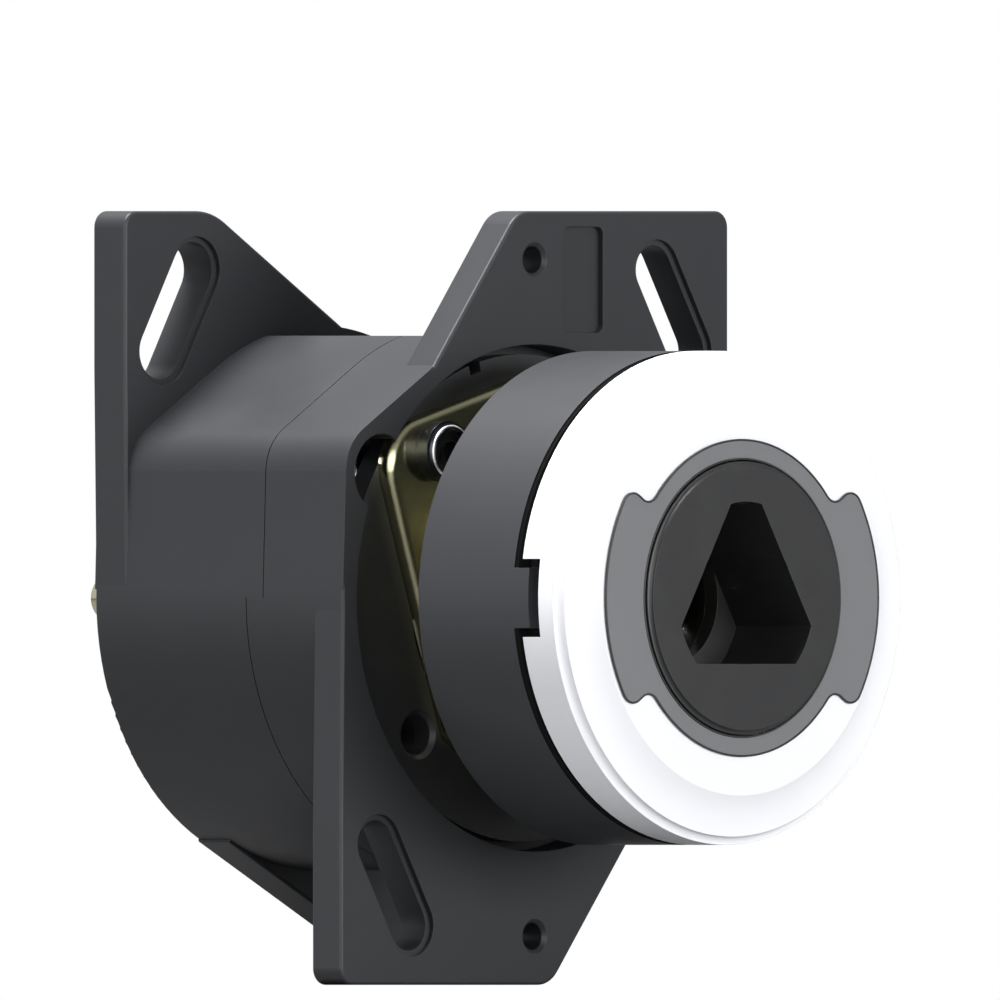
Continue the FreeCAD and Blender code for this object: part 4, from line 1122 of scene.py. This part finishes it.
@dataclass
class ProbeSocket:
    """The brass socket that the probe enters, with its seals and check valve.

    Attributes:
        ring_place: Depth of the sealing ring on the spigot in millimetres.
        ring_inner: Floor radius of its groove in millimetres.
        ring_outer: Radius of the bore that it seals in millimetres.
        lip_profile: Radius and depth of each corner of the probe's lip seal, in millimetres.
    """

    ring_place: float = -3.0
    ring_inner: float = 9.7
    ring_outer: float = 11.0
    lip_profile: tuple[tuple[float, float], ...] = (
        (7.7, 12.7), (7.85, 12.4), (8.3, 12.15), (9.0, 12.05), (9.55, 12.1), (9.6, 12.3), (9.6, 13.7),
        (9.55, 13.9), (9.2, 13.95), (8.9, 13.6), (8.5, 13.2), (8.0, 13.1), (7.8, 12.95),
    )

    def build(self, frame: dict) -> list[str]:
        """Dress the socket, mould its seals and wind its spring.


        Returns:
            Names of the pieces.
        """
        names = dress_nodes(frame, {
            "socket_body": DARKENED_BRASS,
            "spring_plug": FINISHES[Slot.BRASS],
            "check_poppet": FINISHES[Slot.BRASS],
            "check_seal": FINISHES[Slot.RUBBER],
        })
        half = (self.ring_outer - self.ring_inner) / 2
        section = rounded_section(
            self.ring_inner, self.ring_outer, self.ring_place - half, self.ring_place + half,
            half * FULL_BEND,
        )
        ring = add_piece(lathe(section), "socket_ring", Slot.RUBBER, "housing")
        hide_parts("socket_o_ring")
        lip = add_piece(lathe(self.lip_profile), "probe_lip", Slot.RUBBER, "housing")
        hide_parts("probe_seal")
        spring = CompressionSpring(
            "check_spring", "housing", "check_valve_slide", radius=4.2, wire=0.8, turns=3.0,
            rear=-3.95, front=3.55, fixed=-4.0, keep=0.6,
        )
        return [*names, ring.name, lip.name, spring.build().name]


@dataclass
class FrontEnd:
    """The sleeve, release cap, label plate, insert and lock.

    Attributes:
        rim_radius: Radius of the dark line, painted shade for the gap round the label plate, in millimetres.
        rim_sides: Points round that line's section.
        weld: Distance under which two corners of the plate are one, in millimetres.
        level: Distance under which a corner lies in the plate's front face, in millimetres.
        forward: Least forward part of the normal of a face that counts as the front.
    """

    rim_radius: float = 0.13
    rim_sides: int = 8
    weld: float = 0.001
    level: float = 0.01
    forward: float = 0.5

    def outline(self, plate: bpy.types.Object) -> list[list[Vector]]:
        """Find the closed edge loops of the label plate's front face.

        Args:
            plate: The plate's object.

        Returns:
            The points of each loop in order.
        """
        shape = bmesh.new()
        shape.from_mesh(plate.data)
        bmesh.ops.remove_doubles(shape, verts=shape.verts, dist=MILLI * self.weld)
        front = min(vert.co.y for vert in shape.verts) + MILLI * self.level
        rim = [
            edge for edge in shape.edges
            if all(vert.co.y < front for vert in edge.verts)
            and sum(face.normal.y < -self.forward for face in edge.link_faces) == 1
        ]
        following: dict[int, list[int]] = {}
        for edge in rim:
            first, second = (vert.index for vert in edge.verts)
            following.setdefault(first, []).append(second)
            following.setdefault(second, []).append(first)
        spots = {vert.index: vert.co.copy() for edge in rim for vert in edge.verts}
        shape.free()
        loops = []
        while following:
            start = next(iter(following))
            walk = [start]
            while True:
                ahead = [index for index in following.pop(walk[-1]) if index in following]
                if not ahead:
                    break
                walk.append(ahead[0])
            loops.append([spots[index] for index in walk])
        return loops

    def build(self, frame: dict) -> list[str]:
        """Dress the front end and draw a dark line of painted shade in the gap round its label plate.

        Returns:
            Names of the pieces.
        """
        names = dress_nodes(frame, {
            "outer_sleeve": FINISHES[Slot.SLEEVE],
            "release_cap": FINISHES[Slot.CAP],
            "label_plate": FINISHES[Slot.LABEL],
            "gas_insert": FINISHES[Slot.INSERT],
            "lock_sleeve": FINISHES[Slot.BRASS],
            "lock_pin_1": FINISHES[Slot.STEEL],
            "lock_pin_2": FINISHES[Slot.STEEL],
            "lock_pin_3": FINISHES[Slot.STEEL],
        })
        # A dark line in the gap round the label plate, which paints the shade there
        for number, loop in enumerate(self.outline(frame["nodes"]["label_plate"]), start=1):
            line = sweep(loop, MILLI * self.rim_radius, self.rim_sides, closed=True)
            names.append(add_piece(line, f"label_shade_line_{number}", Slot.RUBBER, "release_cap").name)
        spring = CompressionSpring(
            "release_spring", "housing", "cap_press", radius=17.1, wire=1.1, turns=2.0,
            rear=14.05, front=19.95, fixed=14.0, keep=0.85,
        )
        return [*names, spring.build().name]


@dataclass(frozen=True)
class Softbox:
    """One soft lamp of the studio, which points at the outlet.

    Attributes:
        name: The lamp's name.
        place: Where it stands, in metres.
        size: Width and height in metres.
        power: Power in watts.
        glints_only: Whether it shows in reflections alone and lights no matt face.
    """

    name: str
    place: Place
    size: tuple[float, float]
    power: float
    glints_only: bool = False

    def build(self) -> bpy.types.Object:
        """Hang the lamp.

        Returns:
            The lamp's object.
        """
        lamp = bpy.data.lights.new(self.name, "AREA")
        lamp.shape = "RECTANGLE"
        lamp.size, lamp.size_y = self.size
        lamp.energy = self.power
        stand = bpy.data.objects.new(self.name, lamp)
        stand.location = self.place
        stand.rotation_euler = (-Vector(self.place)).to_track_quat("-Z", "Y").to_euler()
        stand.visible_diffuse = not self.glints_only
        bpy.context.scene.collection.objects.link(stand)
        return stand


LAMPS = (
    Softbox("top_lamp", place=(-0.2, 0.15, 0.97), size=(0.5, 0.5), power=29.5),
    Softbox("front_lamp", place=(0.1, -0.95, 0.1), size=(0.6, 0.25), power=7.2),
    Softbox("left_lamp", place=(-0.95, 0.3, -0.05), size=(0.5, 0.5), power=4.3),
    Softbox("glint_lamp", place=(-0.8, -0.58, 0.2), size=(0.9, 0.6), power=7.0, glints_only=True),
)


@dataclass
class Studio:
    """The pale floor, soft lamps, surrounding light and the camera.

    Attributes:
        floor_height: Height of the floor in metres, which is that of the outlet's lowest point.
        floor_reach: Half the floor's width in metres.
        floor_tones: Darkest and lightest grey of the floor as the camera sees it.
        floor_patch: Scale of the patches that those two greys form.
        floor_bounce: Grey of the floor as the outlet sees it.
        floor_roughness: Roughness of the floor.
        azimuth: Angle of the camera about the outlet, in degrees, from straight in front.
        elevation: Angle of the camera over the horizon, in degrees.
        centre_across: Middle of the picture across, in millimetres from the axis.
        centre_up: Middle of the picture up, in millimetres from the axis.
        distance: Distance of the camera in metres.
        bright_side: The direction that the surroundings are brightest in.
        bright_from: Cosine of the angle to that direction at which they begin to brighten.
        dim: Brightness of the surroundings away from it.
        bright: Brightness of the surroundings towards it.
        blue: Share by which their blue is raised.
    """

    floor_height: float
    floor_reach: float = 3.0
    floor_tones: tuple[float, float] = (0.8, 0.84)
    floor_patch: float = 8.0
    floor_bounce: float = 0.12
    floor_roughness: float = 0.6
    azimuth: float = -45.28
    elevation: float = 0.0
    centre_across: float = -4.215
    centre_up: float = 11.9
    distance: float = 0.8
    bright_side: Place = (0.0, 0.8, 0.6)
    bright_from: float = 0.2
    dim: float = 0.3
    bright: float = 0.6
    blue: float = 0.06

    def build(self) -> None:
        """Set up floor, lamps, surroundings and camera."""
        self.lay_floor()
        for lamp in LAMPS:
            lamp.build()
        self.light_surroundings()
        self.stand_camera()

    def lay_floor(self) -> None:
        """Lay the pale floor under the outlet, which throws little light back up."""
        mesh = bpy.data.meshes.new("studio_floor")
        reach = self.floor_reach
        corners = [(-reach, -reach), (reach, -reach), (reach, reach), (-reach, reach)]
        mesh.from_pydata([(x, y, self.floor_height) for x, y in corners], [], [(0, 1, 2, 3)])
        floor = bpy.data.objects.new("studio_floor", mesh)
        bpy.context.scene.collection.objects.link(floor)
        paint = bpy.data.materials.new("floor_paint")
        paint.use_nodes = True
        board = Board(paint.node_tree)
        shader = paint.node_tree.nodes["Principled BSDF"].inputs
        darkest, lightest = self.floor_tones
        patches = board.noise(board.spot(), self.floor_patch, detail=3.0)
        tone = board.spread(patches, *NOISE_RANGE, 0.0, 1.0)
        pale = board.blend(tone, grey(darkest), grey(lightest))
        seen = board.add("ShaderNodeLightPath").outputs["Is Camera Ray"]
        board.feed(shader["Base Color"], board.blend(seen, grey(self.floor_bounce), pale))
        shader["Roughness"].default_value = self.floor_roughness
        mesh.materials.append(paint)
        floor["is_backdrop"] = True

    def light_surroundings(self) -> None:
        """Give the camera a white ground and the outlet surroundings that are bright on one side."""
        world = bpy.data.worlds.new("studio")
        world.use_nodes = True
        bpy.context.scene.world = world
        board = Board(world.node_tree)
        soft = world.node_tree.nodes["Background"]
        facing = board.add("ShaderNodeVectorMath", operation="DOT_PRODUCT")
        board.feed(facing.inputs[0], board.add("ShaderNodeTexCoord").outputs["Generated"])
        board.feed(facing.inputs[1], self.bright_side)
        near = board.spread(facing.outputs["Value"], self.bright_from, 1.0, 0.0, 1.0)
        shade = board.blend(near, grey(self.dim, self.blue), grey(self.bright, self.blue))
        board.feed(soft.inputs["Color"], shade)
        white = board.add("ShaderNodeBackground")
        white.inputs["Color"].default_value = grey(1.0)
        chosen = board.add("ShaderNodeMixShader")
        board.feed(chosen.inputs[0], board.add("ShaderNodeLightPath").outputs["Is Camera Ray"])
        board.feed(chosen.inputs[1], soft.outputs[0])
        board.feed(chosen.inputs[2], white.outputs[0])
        board.feed(world.node_tree.nodes["World Output"].inputs["Surface"], chosen.outputs[0])

    def stand_camera(self) -> None:
        """Stand the camera at the photograph's angle, without perspective."""
        turn = math.radians(self.azimuth)
        rise = math.radians(self.elevation)
        back = Vector((math.sin(turn) * math.cos(rise), -math.cos(turn) * math.cos(rise), math.sin(rise)))
        right = Vector((math.cos(turn), math.sin(turn), 0))
        lens = bpy.data.cameras.new("photo_camera")
        lens.type = "ORTHO"
        lens.ortho_scale = MILLI * PHOTO_WIDTH / PIXELS_PER_MILLIMETRE
        lens.clip_end = 10.0
        camera = bpy.data.objects.new("photo_camera", lens)
        centre = MILLI * (right * self.centre_across + Vector((0, 0, self.centre_up)))
        camera.location = centre + back * self.distance
        camera.rotation_euler = (-back).to_track_quat("-Z", "Y").to_euler()
        bpy.context.scene.collection.objects.link(camera)
        bpy.context.scene.camera = camera


def set_tone_curve() -> None:
    """Show colours as they are, without a film curve."""
    view = bpy.context.scene.view_settings
    view.view_transform = "Standard"
    view.look = "None"
    view.exposure = 0.0
    view.gamma = 1.0


def corners_of(box: tuple[Vector, Vector]) -> list[list[float]]:
    """Write a box's corners as plain numbers."""
    return [list(corner) for corner in box]


def main() -> None:
    """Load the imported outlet, dress it and set up the studio."""
    logging.basicConfig(level=logging.INFO, format="%(name)s: %(message)s")
    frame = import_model()
    packed = corners_of(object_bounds())
    Studio(floor_height=packed[0][2]).build()
    set_tone_curve()
    for assembly in (Housing(), ValveBlock(), ProbeSocket(), FrontEnd()):
        for name in assembly.build(frame):
            LOG.info("dressed %s", name)


if __name__ == "__main__":
    main()
